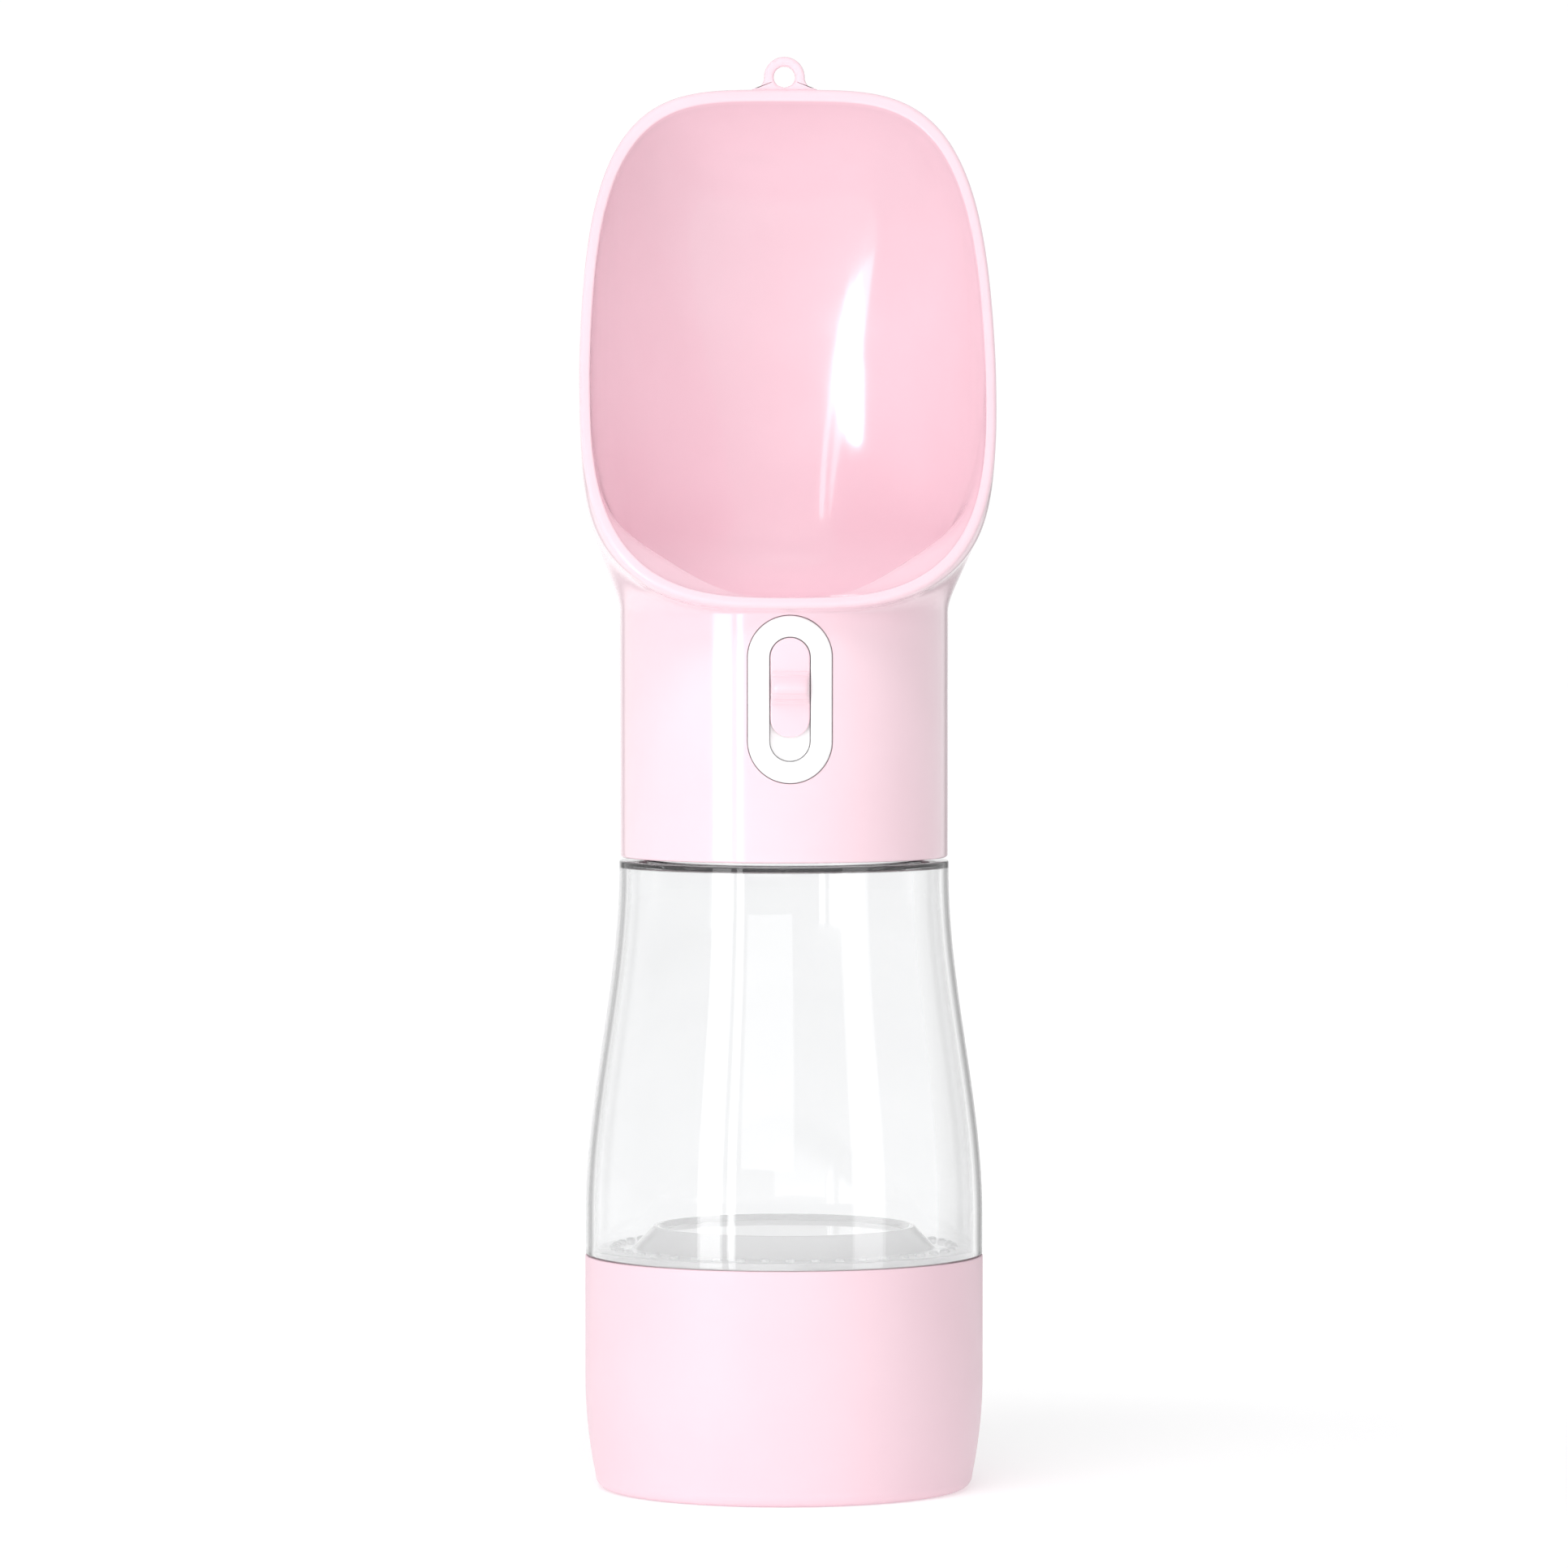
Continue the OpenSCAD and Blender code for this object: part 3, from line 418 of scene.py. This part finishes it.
def food_cup():
    """Screw-on cup with a curved foot, a seat for its gasket and the female thread."""
    low_r, curve_z, edge = CUP_R - CUP_CURVE_IN, CUP_FILLET + CUP_CURVE_H, 0.3

    def wall(inset, steps):
        """The curved stretch of the wall, from its foot up, moved in by inset."""
        return [
            (CUP_R - CUP_CURVE_IN * (1 - t) ** 2 - inset, CUP_FILLET + CUP_CURVE_H * t)
            for t in shares(steps, 1)
        ]

    outline = [(0, CUP_RECESS_H), (CUP_RECESS_R, CUP_RECESS_H)]
    outline += [(CUP_RECESS_R + 0.5, 0.1), (CUP_RECESS_R + 1.5, 0)]
    outline += arc(low_r - CUP_FILLET, CUP_FILLET, CUP_FILLET, -90, 0, 14)
    outline += wall(0, 28)
    outline += [(CUP_R, curve_z + (CUP_H - edge - curve_z) * t) for t in shares(10, 1)[:-1]]
    outline += arc(CUP_R - edge, CUP_H - edge, edge, 0, 90, 6)
    outline += [(CUP_SEAT_R, CUP_H), (CUP_SEAT_R, CUP_SEAT_Z)]
    outline += [(CUP_IN_R, CUP_SEAT_Z), (CUP_IN_R, curve_z + 2)]
    outline += wall(CUP_WALL, 20)[::-1]
    outline += arc(low_r - CUP_WALL - CUP_IN_FILLET, CUP_FLOOR + CUP_IN_FILLET, CUP_IN_FILLET, 0, -90, 8)
    outline += [(0, CUP_FLOOR)]
    cup_thread = thread(CUP_IN_R, -1, SPIGOT_THREAD_Z, 180)
    cup = build("food_cup_body", *merge(lathe(outline, closed=False), cup_thread), PINK_SATIN)
    place(cup, "food_cup", "pink_satin", "food_cup")


# --------------------------------------------------------------- bottle

def bottle_r(h):
    """Radius of the bottle at height h over its foot."""
    t = max(0, min(1, (h - FOOT_STRAIGHT) / TAPER_H))
    return BOTTLE_R + (SHOULDER_R - BOTTLE_R) * t * t * (3 - 2 * t)


def bottle():
    """Clear bottle: straight foot, long taper, flat shoulder and threaded neck."""
    foot_edge, edge, neck_edge = 0.25, 0.3, 0.4
    levels = [FOOT_STRAIGHT * t for t in shares(4, 1)]
    levels += [FOOT_STRAIGHT + TAPER_H * t for t in shares(60, 1)]
    outside = [(bottle_r(h), BOTTLE_Z + h) for h in levels]
    inside = [(r - BOTTLE_WALL, z) for r, z in outside]
    inner_r, neck_in_r = SHOULDER_R - BOTTLE_WALL, NECK_R - NECK_WALL
    plate_z = SHOULDER_Z - SHOULDER_T
    outline = arc(BOTTLE_R - foot_edge, BOTTLE_Z + foot_edge, foot_edge, -90, 0, 4) + outside
    outline += arc(SHOULDER_R - edge, SHOULDER_Z - edge, edge, 0, 90, 6)
    outline += arc(NECK_R + neck_edge, SHOULDER_Z + neck_edge, neck_edge, 270, 180, 4)
    outline += arc(NECK_R - neck_edge, NECK_TOP - neck_edge, neck_edge, 0, 90, 4)
    outline += arc(neck_in_r + neck_edge, NECK_TOP - neck_edge, neck_edge, 90, 180, 4)
    outline += [(neck_in_r, plate_z + neck_edge), (neck_in_r + neck_edge, plate_z)]
    outline += arc(inner_r - edge, plate_z - edge, edge, 90, 0, 5)
    outline += inside[::-1] + [(BOTTLE_R - BOTTLE_WALL, BOTTLE_Z)]
    body = build("bottle_body", *merge(lathe(outline), thread(NECK_R, 1, NECK_THREAD_Z)), CLEAR)
    place(body, "bottle", "clear_plastic", "water_bottle")


def bottle_base():
    """Base with a dished, raised centre, a ring of weld bumps and the threaded spigot."""
    top = FLANGE_Z + BASE_T
    dish, brim_r, brim_z = top + HAT_H - HAT_DISH, HAT_TOP_R - 0.6, top + HAT_H
    spigot_in_r, spigot_z = SPIGOT_R - SPIGOT_WALL, FLANGE_Z - SPIGOT_L
    outline = [(0, dish), (HAT_TOP_R - 2.2, dish)]
    outline += arc(brim_r - 1.2, dish + 0.4, 0.4, -90, -20, 4)
    outline += arc(brim_r - 0.2, brim_z - 0.3, 0.3, 160, 90, 3)
    outline += arc(HAT_TOP_R - 0.3, brim_z - 0.4, 0.4, 90, 35, 4)
    outline += arc(HAT_LOW_R + 0.3, top + 0.5, 0.5, 220, 270, 4)
    outline += arc(FLANGE_R - 0.2, top - 0.2, 0.2, 90, 0, 3) + [(FLANGE_R, FLANGE_Z), (SPIGOT_R, FLANGE_Z)]
    outline += arc(SPIGOT_R - 0.4, spigot_z + 0.4, 0.4, 0, -90, 4)
    outline += [(spigot_in_r, spigot_z), (spigot_in_r, FLANGE_Z), (HAT_LOW_R - 1.2, FLANGE_Z)]
    outline += [(HAT_TOP_R - 0.3, dish - BASE_T), (0, dish - BASE_T)]
    dome = [(0, BUMP_H), (BUMP_R * 0.45, BUMP_H * 0.93), (BUMP_R * 0.8, BUMP_H * 0.66)]
    points, faces = lathe(dome + [(BUMP_R, 0), (BUMP_R, -0.3), (0, -0.3)], 20, False)
    bumps = []
    for x, y, z in circle((HAT_LOW_R + FLANGE_R) / 2, top, full_turn(BUMPS)):
        bumps.append(([(x + p[0], y + p[1], z + p[2]) for p in points], faces))
    spigot_thread = thread(SPIGOT_R, 1, SPIGOT_THREAD_Z)
    base = build("bottle_foot", *merge(lathe(outline, closed=False), spigot_thread, *bumps), MILKY_PAINTED_GLOW)
    place(base, "bottle", "clear_plastic", "bottle_base")


# ----------------------------------------------------------------- head

def rim_point(a, inset, depth):
    """Point of the leaning rim at angle a, moved in by inset and back by depth."""
    c, s = math.cos(a), math.sin(a)
    w, up, low = BOWL_HALF_W - inset, BOWL_UP - inset * RIM_IN_TOP, BOWL_LOW - inset * RIM_IN_LIP
    n, v = (SQUARE_UP, up) if s >= 0 else (SQUARE_LOW, low)
    q = ((abs(c) / w) ** n + (abs(s) / v) ** n) ** (-1 / n)
    z = RIM_MID + q * s
    x = q * c * (1 - RIM_TAPER * max(0, q * s / up) ** 1.5)
    y = LIP_Y + (z - LIP_Z) * math.tan(RIM_LEAN)
    return Vector((x, y + depth * math.cos(RIM_LEAN), z - depth * math.sin(RIM_LEAN)))


def side(a):
    """How much angle a belongs to the bowl's sides, which swell out low down."""
    return math.cos(a) ** (8 if math.sin(a) >= 0 else 2)


def wall_point(a, r, z, rim, t):
    """Point t of the way up the bowl's wall, from radius r at height z to a point of the rim.

    The wall is a Bezier curve that starts upright. It meets the rim square to the rim's plane at the front
    and the back, and at the sides it swells out low down."""
    rise, side_rise, reach, side_drop = 0.5, 0.38, 0.28, 0.6
    foot = Vector((r * math.cos(a), r * math.sin(a), z))
    back = Vector((0, math.cos(RIM_LEAN), -math.sin(RIM_LEAN)))
    up = Vector((0, 0, max(0, rim.z - z)))
    low = foot + (rise - side_rise * side(a)) * up
    high = rim + reach * (rim - foot).length * back - side_drop * side(a) * up
    return foot * (1 - t) ** 3 + low * 3 * t * (1 - t) ** 2 + high * 3 * t * t * (1 - t) + rim * t ** 3


def fillet_h(a):
    """Height of the curve between the bowl's floor and its wall at angle a."""
    h = rim_point(a, RIM_W, 0).z - BOWL_FLOOR
    return h * BOWL_FILLET / (h + BOWL_FILLET)


def bowl_rings(turn):
    """Rings from the middle of the bowl's floor, over the rim and down the outside to the ceiling."""
    in_edge = 0.3

    def foot_r(a):
        """Radius at which the wall starts, over its fillet, at angle a."""
        return HEAD_R - RIM_W - 0.4 + BULGE * side(a)

    rings = [circle(q, BOWL_FLOOR, turn) for q in (0, 9, 11.5)]
    for t in shares(10)[::-1]:
        b = math.pi / 2 * t
        rings.append([])
        for a in turn:
            h = fillet_h(a)
            q = foot_r(a) - (h + BOWL_FILLET) / 2 * (1 - math.cos(b))
            rings[-1].append((q * math.cos(a), q * math.sin(a), BOWL_FLOOR + h * (1 - math.sin(b))))
    feet = [(a, foot_r(a), BOWL_FLOOR + fillet_h(a), rim_point(a, RIM_W, in_edge)) for a in turn]
    for t in shares(40, 1):
        rings.append([wall_point(*foot, t) for foot in feet])
    for t in shares(4, 1):
        inset, depth = quarter(in_edge, t)
        rings.append([rim_point(a, RIM_W - inset, depth) for a in turn])
    for t in shares(8)[::-1]:
        inset, depth = quarter(RIM_ROUND, t)
        rings.append([rim_point(a, inset, depth) for a in turn])
    for t in shares(44, 1):
        rings.append([wall_point(a, HEAD_R, CEILING, rim_point(a, 0, RIM_ROUND), 1 - t) for a in turn])
    return rings


def head_shell():
    """Bowl and skirt in one, with the spout's hole, the switch's seat and window, and the thread."""
    seat_room, edge, turn = 0.14, 0.4, full_turn(RIM_FACETS)
    skirt = [(HEAD_R, CEILING - (CEILING - SKIRT_Z - edge) * t) for t in shares(40, 1)[:-1]]
    skirt += arc(HEAD_R - edge, SKIRT_Z + edge, edge, 0, -90, 5)
    skirt += arc(SKIRT_IN_R + edge, SKIRT_Z + edge, edge, 270, 180, 4)
    skirt += [(SKIRT_IN_R, DECK_Z - 0.5), (CAVITY_R, DECK_Z - 0.5)]
    skirt += [(r, CEILING) for r in (CAVITY_R, 18, 12, 0)]
    rings = bowl_rings(turn) + [circle(r, z, turn) for r, z in skirt]
    head = build("head_body", *strips(rings), PINK_GLOSS)

    low, high = CEILING - 3.4, BOWL_FLOOR + 2.4
    rod = [(0, low), (SPOUT_HOLE_R, low), (SPOUT_HOLE_R, high), (0, high)]
    points, faces = lathe(rod, 64, False)
    carve(head, "spout_cut", [(x, y - CHANNEL_Y, z) for x, y, z in points], faces)
    seat = stadium(PLATE_W + 2 * seat_room, PLATE_H + 2 * seat_room)
    carve(head, "seat_cut", *capped([on_skirt(seat, r, SWITCH_Z) for r in (PLATE_IN, HEAD_R + 3)]))
    window, front_y, back_y = stadium(WINDOW_W, WINDOW_H), -31, -15
    ends = [[(x, y, SWITCH_Z + z) for x, z in window] for y in (front_y, back_y)]
    carve(head, "window_cut", *capped(ends))
    place(head, "head", "pink_gloss", "head_shell")

    inner_thread = build("head_thread", *thread(SKIRT_IN_R, -1, NECK_THREAD_Z, 180), PINK_GLOSS)
    place(inner_thread, "head", "pink_gloss")


def hanging_loop():
    """Loop on top of the rim, with a round hole, flared feet and rounded edges."""
    out_r = LOOP_HOLE + LOOP_BAND
    root, low = out_r + LOOP_FLARE, RIM_TOP - 1.4 - LOOP_Z
    outline = arc(0, 0, out_r, 0, 180, 48)
    flare = [(root - x, -z) for x, z in arc(0, 0, LOOP_FLARE, 0, 90, 14)[1:]]
    outline += [(-x, z) for x, z in flare]
    outline += [(-root, low), (-root / 2, low), (0, low), (root / 2, low), (root, low)] + flare[::-1]

    def ring(inset, hole, y):
        """One ring of the loop's surface, on the outline or on its hole, moved into the material by inset."""
        points = []
        for x, z in outline:
            far = math.hypot(x, z)
            size = (LOOP_HOLE + inset) / far if hole else 1 - inset / far
            points.append((x * size, LOOP_Y + y, LOOP_Z + z * size))
        return points

    edge = 0.55
    bend = [(inset, LOOP_T / 2 - depth) for depth, inset in (quarter(edge, t) for t in shares(5))]
    front = [ring(inset, False, -y) for inset, y in bend[::-1]] + [ring(inset, True, -y) for inset, y in bend]
    back = [ring(inset, True, y) for inset, y in bend[::-1]] + [ring(inset, False, y) for inset, y in bend]
    loop = build("hanging_loop", *strips(front + back, closed=True), PINK_GLOSS)
    place(loop, "head", "pink_gloss")


# --------------------------------------------------------------- switch

def switch_plate():
    """Curved plate with a slot, its outer and slot edges rounded."""
    edge, slot_edge = 0.35, 0.2
    face_w, face_h = PLATE_W - 2 * edge, PLATE_H - 2 * edge
    hole_w, hole_h = SLOT_W + 2 * slot_edge, SLOT_H + 2 * slot_edge
    sizes = [(PLATE_W, PLATE_H, PLATE_IN)]
    for t in shares(5):
        inset, depth = quarter(edge, t)
        sizes.append((PLATE_W - 2 * inset, PLATE_H - 2 * inset, PLATE_OUT - depth))
    for t in shares(6, 1)[:-1]:
        sizes.append((face_w + (hole_w - face_w) * t, face_h + (hole_h - face_h) * t, PLATE_OUT))
    for t in shares(4)[::-1]:
        inset, depth = quarter(slot_edge, t)
        sizes.append((SLOT_W + 2 * inset, SLOT_H + 2 * inset, PLATE_OUT - depth))
    sizes.append((SLOT_W, SLOT_H, PLATE_IN))
    rings = [on_skirt(stadium(w, h), r, SWITCH_Z) for w, h, r in sizes]
    plate = build("switch_cover", *strips(rings, closed=True), WHITE)
    place(plate, "head", "white_plastic", "switch_plate")


def grip(h):
    """How far the thumb grip stands out at height h from its middle, with its fine grooves."""
    t = min(1, abs(h) / (GRIP_H / 2))
    cut = max(max(0, 1 - (abs(h - groove) / GROOVE_HALF_H) ** 2) for groove in GROOVES)
    return max(0, GRIP_OUT * (1 + math.cos(math.pi * t)) / 2 - GROOVE_DEPTH * cut)


def lock_slider():
    """Pill with the thumb grip, its stem and hooks."""
    half_h, half_w, edge, columns = SLIDER_H / 2, SLIDER_W / 2, 0.28, 24
    end_rows, middle_rows, end_share = 24, 240, 0.32
    low_end = [-half_h * math.cos(math.pi * end_share * i / end_rows) for i in range(end_rows)]
    middle = [low_end[-1] * (1 - 2 * t) for t in shares(middle_rows, 1)[:-1]]
    heights = low_end + middle + [-h for h in low_end[::-1]]
    rows = []
    for h in heights:
        past = max(0, abs(h) - (half_h - half_w)) / half_w
        square = 2.0 if h > 0 else 2.2
        w = half_w * max(0, 1 - min(1, past) ** square) ** (1 / square)
        fall = min(1, (half_h - abs(h)) / edge)
        row = []
        for k in range(-columns, columns + 1):
            x = w * math.sin(math.pi / 2 * k / columns)
            near = min(1, (w - abs(x)) / edge)
            drop = edge * (1 - math.sqrt(max(0, 1 - (1 - min(near, fall)) ** 2)))
            fade = max(0, 1 - (abs(x) / (half_w - 0.05)) ** 10) ** 0.5
            y = -math.sqrt(PLATE_OUT ** 2 - x * x) + 0.02 + drop - grip(h) * fade
            row.append((x, y, SLIDER_Z + h))
        back = [(x, FLOOR_Y - 0.05, z) for x, _, z in row[::-1]]
        rows.append(row + back)

    def block(w, h, y0, y1):
        """A block with rounded edges on the stem's axis, from y0 to y1."""
        outline = stadium(w, h, 48, 6.0)
        return capped([[(x, y, STEM_Z + z) for x, z in outline] for y in (y0, y1)])

    stem = block(STEM_W, STEM_H, FLOOR_Y - 0.3, WEB_Y + 1.5)
    hooks = block(STEM_W + 1.6, STEM_H, WEB_Y + 0.5, WEB_Y + 1.5)
    slider = build("slider_pill", *merge(capped(rows), stem, hooks), PINK_GLOSS, 40)
    place(slider, "slider", "pink_gloss", "lock_slider")


# ------------------------------------------------------- carried-over CAD

KEPT = {
    SILICONE: ("food_gasket", "neck_gasket", "outlet_seal", "stem_o_ring", "cap_o_ring", "poppet_seal"),
    WHITE: ("valve_body", "gland_ring", "valve_end_cap", "press_key", "valve_poppet"),
    STEEL: ("deck_screws", "valve_spring", "detent_spring"),
}


def dress_kept_nodes():
    """Gives the CAD nodes that no piece replaces their materials."""
    for material, names in KEPT.items():
        for name in names:
            for holder in frame["nodes"][name].material_slots:
                holder.material = material


# ------------------------------------------------------- floor and light

def floor():
    """A pale light table. It glows from the bottle's foot back, so its far part stays white."""
    material, tree, shader = new_material("floor_white")
    white = tint(tree, noise(tree, 3, 2), (0.76, 0.76, 0.76), (0.8, 0.8, 0.8))
    tree.links.new(white, shader.inputs["Base Color"])
    shader.inputs["Roughness"].default_value = 0.9
    shader.inputs["Specular IOR Level"].default_value = 0.1
    shader.inputs["Emission Color"].default_value = (1, 1, 1, 1)
    glow = tree.nodes.new("ShaderNodeMapRange")
    for name, value in (("From Min", 0.0), ("From Max", 0.5), ("To Min", 0.36), ("To Max", 0.52)):
        glow.inputs[name].default_value = value
    tree.links.new(coordinate(tree, "Object", "Y"), glow.inputs["Value"])
    tree.links.new(glow.outputs["Result"], shader.inputs["Emission Strength"])
    size, z = 6000, -0.05
    corners = [(-size, -size, z), (size, -size, z), (size, size, z), (-size, size, z)]
    build("floor", corners, [(0, 1, 2, 3)], material)


def around(azimuth, distance, height):
    """A place round the bottle, in metres. Azimuth is from the front, towards +X."""
    a = math.radians(azimuth)
    return Vector((math.sin(a) * distance, -math.cos(a) * distance, height))


def aim(obj, target):
    """Turns a lamp or the camera towards a place in metres."""
    obj.rotation_euler = (Vector(target) - obj.location).to_track_quat("-Z", "Y").to_euler()


def softbox(name, azimuth, distance, low, high, width, radiance, target_z=None, mirrored=True, only=()):
    """An upright area light from height low to high. Radiance 1 is the white of the background.

    Reflections leave it out where mirrored is False. Where only names pieces, it lights nothing else."""
    lamp = bpy.data.lights.new(name, "AREA")
    lamp.shape, lamp.size, lamp.size_y = "RECTANGLE", width, high - low
    lamp.energy = radiance * math.pi * width * (high - low)
    obj = bpy.data.objects.new(name, lamp)
    obj.location = around(azimuth, distance, (low + high) / 2)
    aim(obj, (0, 0, obj.location.z if target_z is None else target_z))
    obj.visible_camera, obj.visible_glossy = False, mirrored
    bpy.context.collection.objects.link(obj)
    if only:
        lit = bpy.data.collections.new(name + "_lit")
        for piece in only:
            lit.objects.link(bpy.data.objects[piece])
        obj.light_linking.receiver_collection = lit


def flag(name, start, end, distance, height, near, far, lights=False):
    """An upright card whose grey runs from near, at azimuth start, to far, and back to near at azimuth end.

    It glows by itself and gives the bottle's clear edges their dark lines, as a photographer's flag does.
    Where lights is True it holds back light instead, and neither reflections nor clear plastic show it."""
    material, tree, shader = new_material(name)
    shader.inputs["Base Color"].default_value = (0.02, 0.02, 0.02, 1)
    ramp = tree.nodes.new("ShaderNodeValToRGB")
    tree.links.new(coordinate(tree, "Generated", "X"), ramp.inputs["Fac"])
    stops = ramp.color_ramp.elements
    stops[0].color = stops[1].color = (near, near, near, 1)
    stops.new(0.65 if start > 0 else 0.35).color = (far, far, far, 1)
    tree.links.new(ramp.outputs["Color"], shader.inputs["Emission Color"])
    shader.inputs["Emission Strength"].default_value = 1.0
    steps = 16
    azimuths = [start + (end - start) * t for t in shares(steps)]
    points = [around(azimuth, distance, z) / MM for azimuth in azimuths for z in (0, height)]
    faces = [(2 * i, 2 * i + 1, 2 * i + 3, 2 * i + 2) for i in range(steps)]
    card = build(name, points, faces, material)
    card.visible_camera = False
    if lights:
        card.visible_glossy = card.visible_transmission = False
    else:
        card.visible_diffuse = card.visible_shadow = False


def highlight(x, z, distance, width, height, tilt, beam, radiance):
    """An oval lamp that only reflections show. The bowl's back mirrors it to the camera at (x, z)."""
    camera_at = bpy.context.scene.camera.location
    bowl_tree = BVHTree.FromObject(bpy.data.objects["head_body"], bpy.context.evaluated_depsgraph_get())
    behind_bowl = Vector((x, 22, z)) * MM
    ray = (behind_bowl - camera_at).normalized()
    hit, normal, _, _ = bowl_tree.ray_cast(camera_at, ray)
    lamp = bpy.data.lights.new("highlight", "AREA")
    lamp.shape, lamp.size, lamp.size_y = "ELLIPSE", width, height
    lamp.spread = math.radians(beam)
    lamp.energy = radiance * math.pi * (math.pi / 4 * width * height)
    obj = bpy.data.objects.new("highlight", lamp)
    obj.location = hit + distance * ray.reflect(normal)
    turn = (hit - obj.location).to_track_quat("-Z", "Y") @ Quaternion((0, 0, 1), math.radians(tilt))
    obj.rotation_euler = turn.to_euler()
    obj.visible_camera = obj.visible_diffuse = obj.visible_transmission = False
    bpy.context.collection.objects.link(obj)


def world():
    """White round the horizon, dimmer overhead."""
    sky = bpy.data.worlds.new("studio")
    sky.use_nodes = True
    tree = sky.node_tree
    ramp = tree.nodes.new("ShaderNodeValToRGB")
    tree.links.new(coordinate(tree, "Generated", "Z"), ramp.inputs["Fac"])
    horizon, overhead = ramp.color_ramp.elements
    horizon.position, horizon.color = 0.14, (1.02, 1.02, 1.02, 1)
    overhead.position, overhead.color = 0.4, (0.62, 0.62, 0.625, 1)
    tree.links.new(ramp.outputs["Color"], tree.nodes["Background"].inputs["Color"])
    tree.nodes["Background"].inputs["Strength"].default_value = 1.0
    bpy.context.scene.world = sky


def camera():
    """The photograph's view: from the front, a little above the bottle's middle."""
    data = bpy.data.cameras.new("camera")
    data.lens, data.sensor_width = LENS, SENSOR_W
    data.clip_end = 50
    obj = bpy.data.objects.new("camera", data)
    obj.location = around(-CAMERA_TURN, CAMERA_FAR, CAMERA_Z)
    aim(obj, (0, 0, LOOK_Z))
    bpy.context.collection.objects.link(obj)
    bpy.context.scene.camera = obj


food_cup()
bottle()
bottle_base()
head_shell()
hanging_loop()
switch_plate()
lock_slider()
dress_kept_nodes()
floor()
world()
softbox("key_left", -44.5, distance=0.42, low=0.0, high=0.17, width=0.1, radiance=3.4)
softbox("key_left_thin", -31.8, distance=0.42, low=0.0, high=0.17, width=0.03, radiance=4.2)
softbox(
    "strip_right", 47, distance=0.42, low=0.0, high=0.25, width=0.14, radiance=1.8,
    only=("bottle_body", "bottle_foot"),
)
softbox(
    "front_top", -14, distance=0.65, low=0.95, high=1.35, width=0.7, radiance=4.8,
    target_z=0.2, mirrored=False,
)
softbox(
    "front_fill", -12, distance=1.7, low=0.2, high=0.95, width=1.0, radiance=2.1,
    target_z=0.2, mirrored=False,
)
flag("flag_right", start=168, end=142, distance=0.3, height=0.4, near=1.0, far=0.3)
flag("flag_left", start=-161, end=-145, distance=0.3, height=0.4, near=1.0, far=0.35)
flag("flag_side", start=65, end=118, distance=0.42, height=0.3, near=0.12, far=0.02, lights=True)
camera()
highlight(x=13, z=194.5, distance=0.03, width=0.0058, height=0.021, tilt=-35, beam=72, radiance=6)
bpy.context.scene.view_settings.view_transform = "Standard"
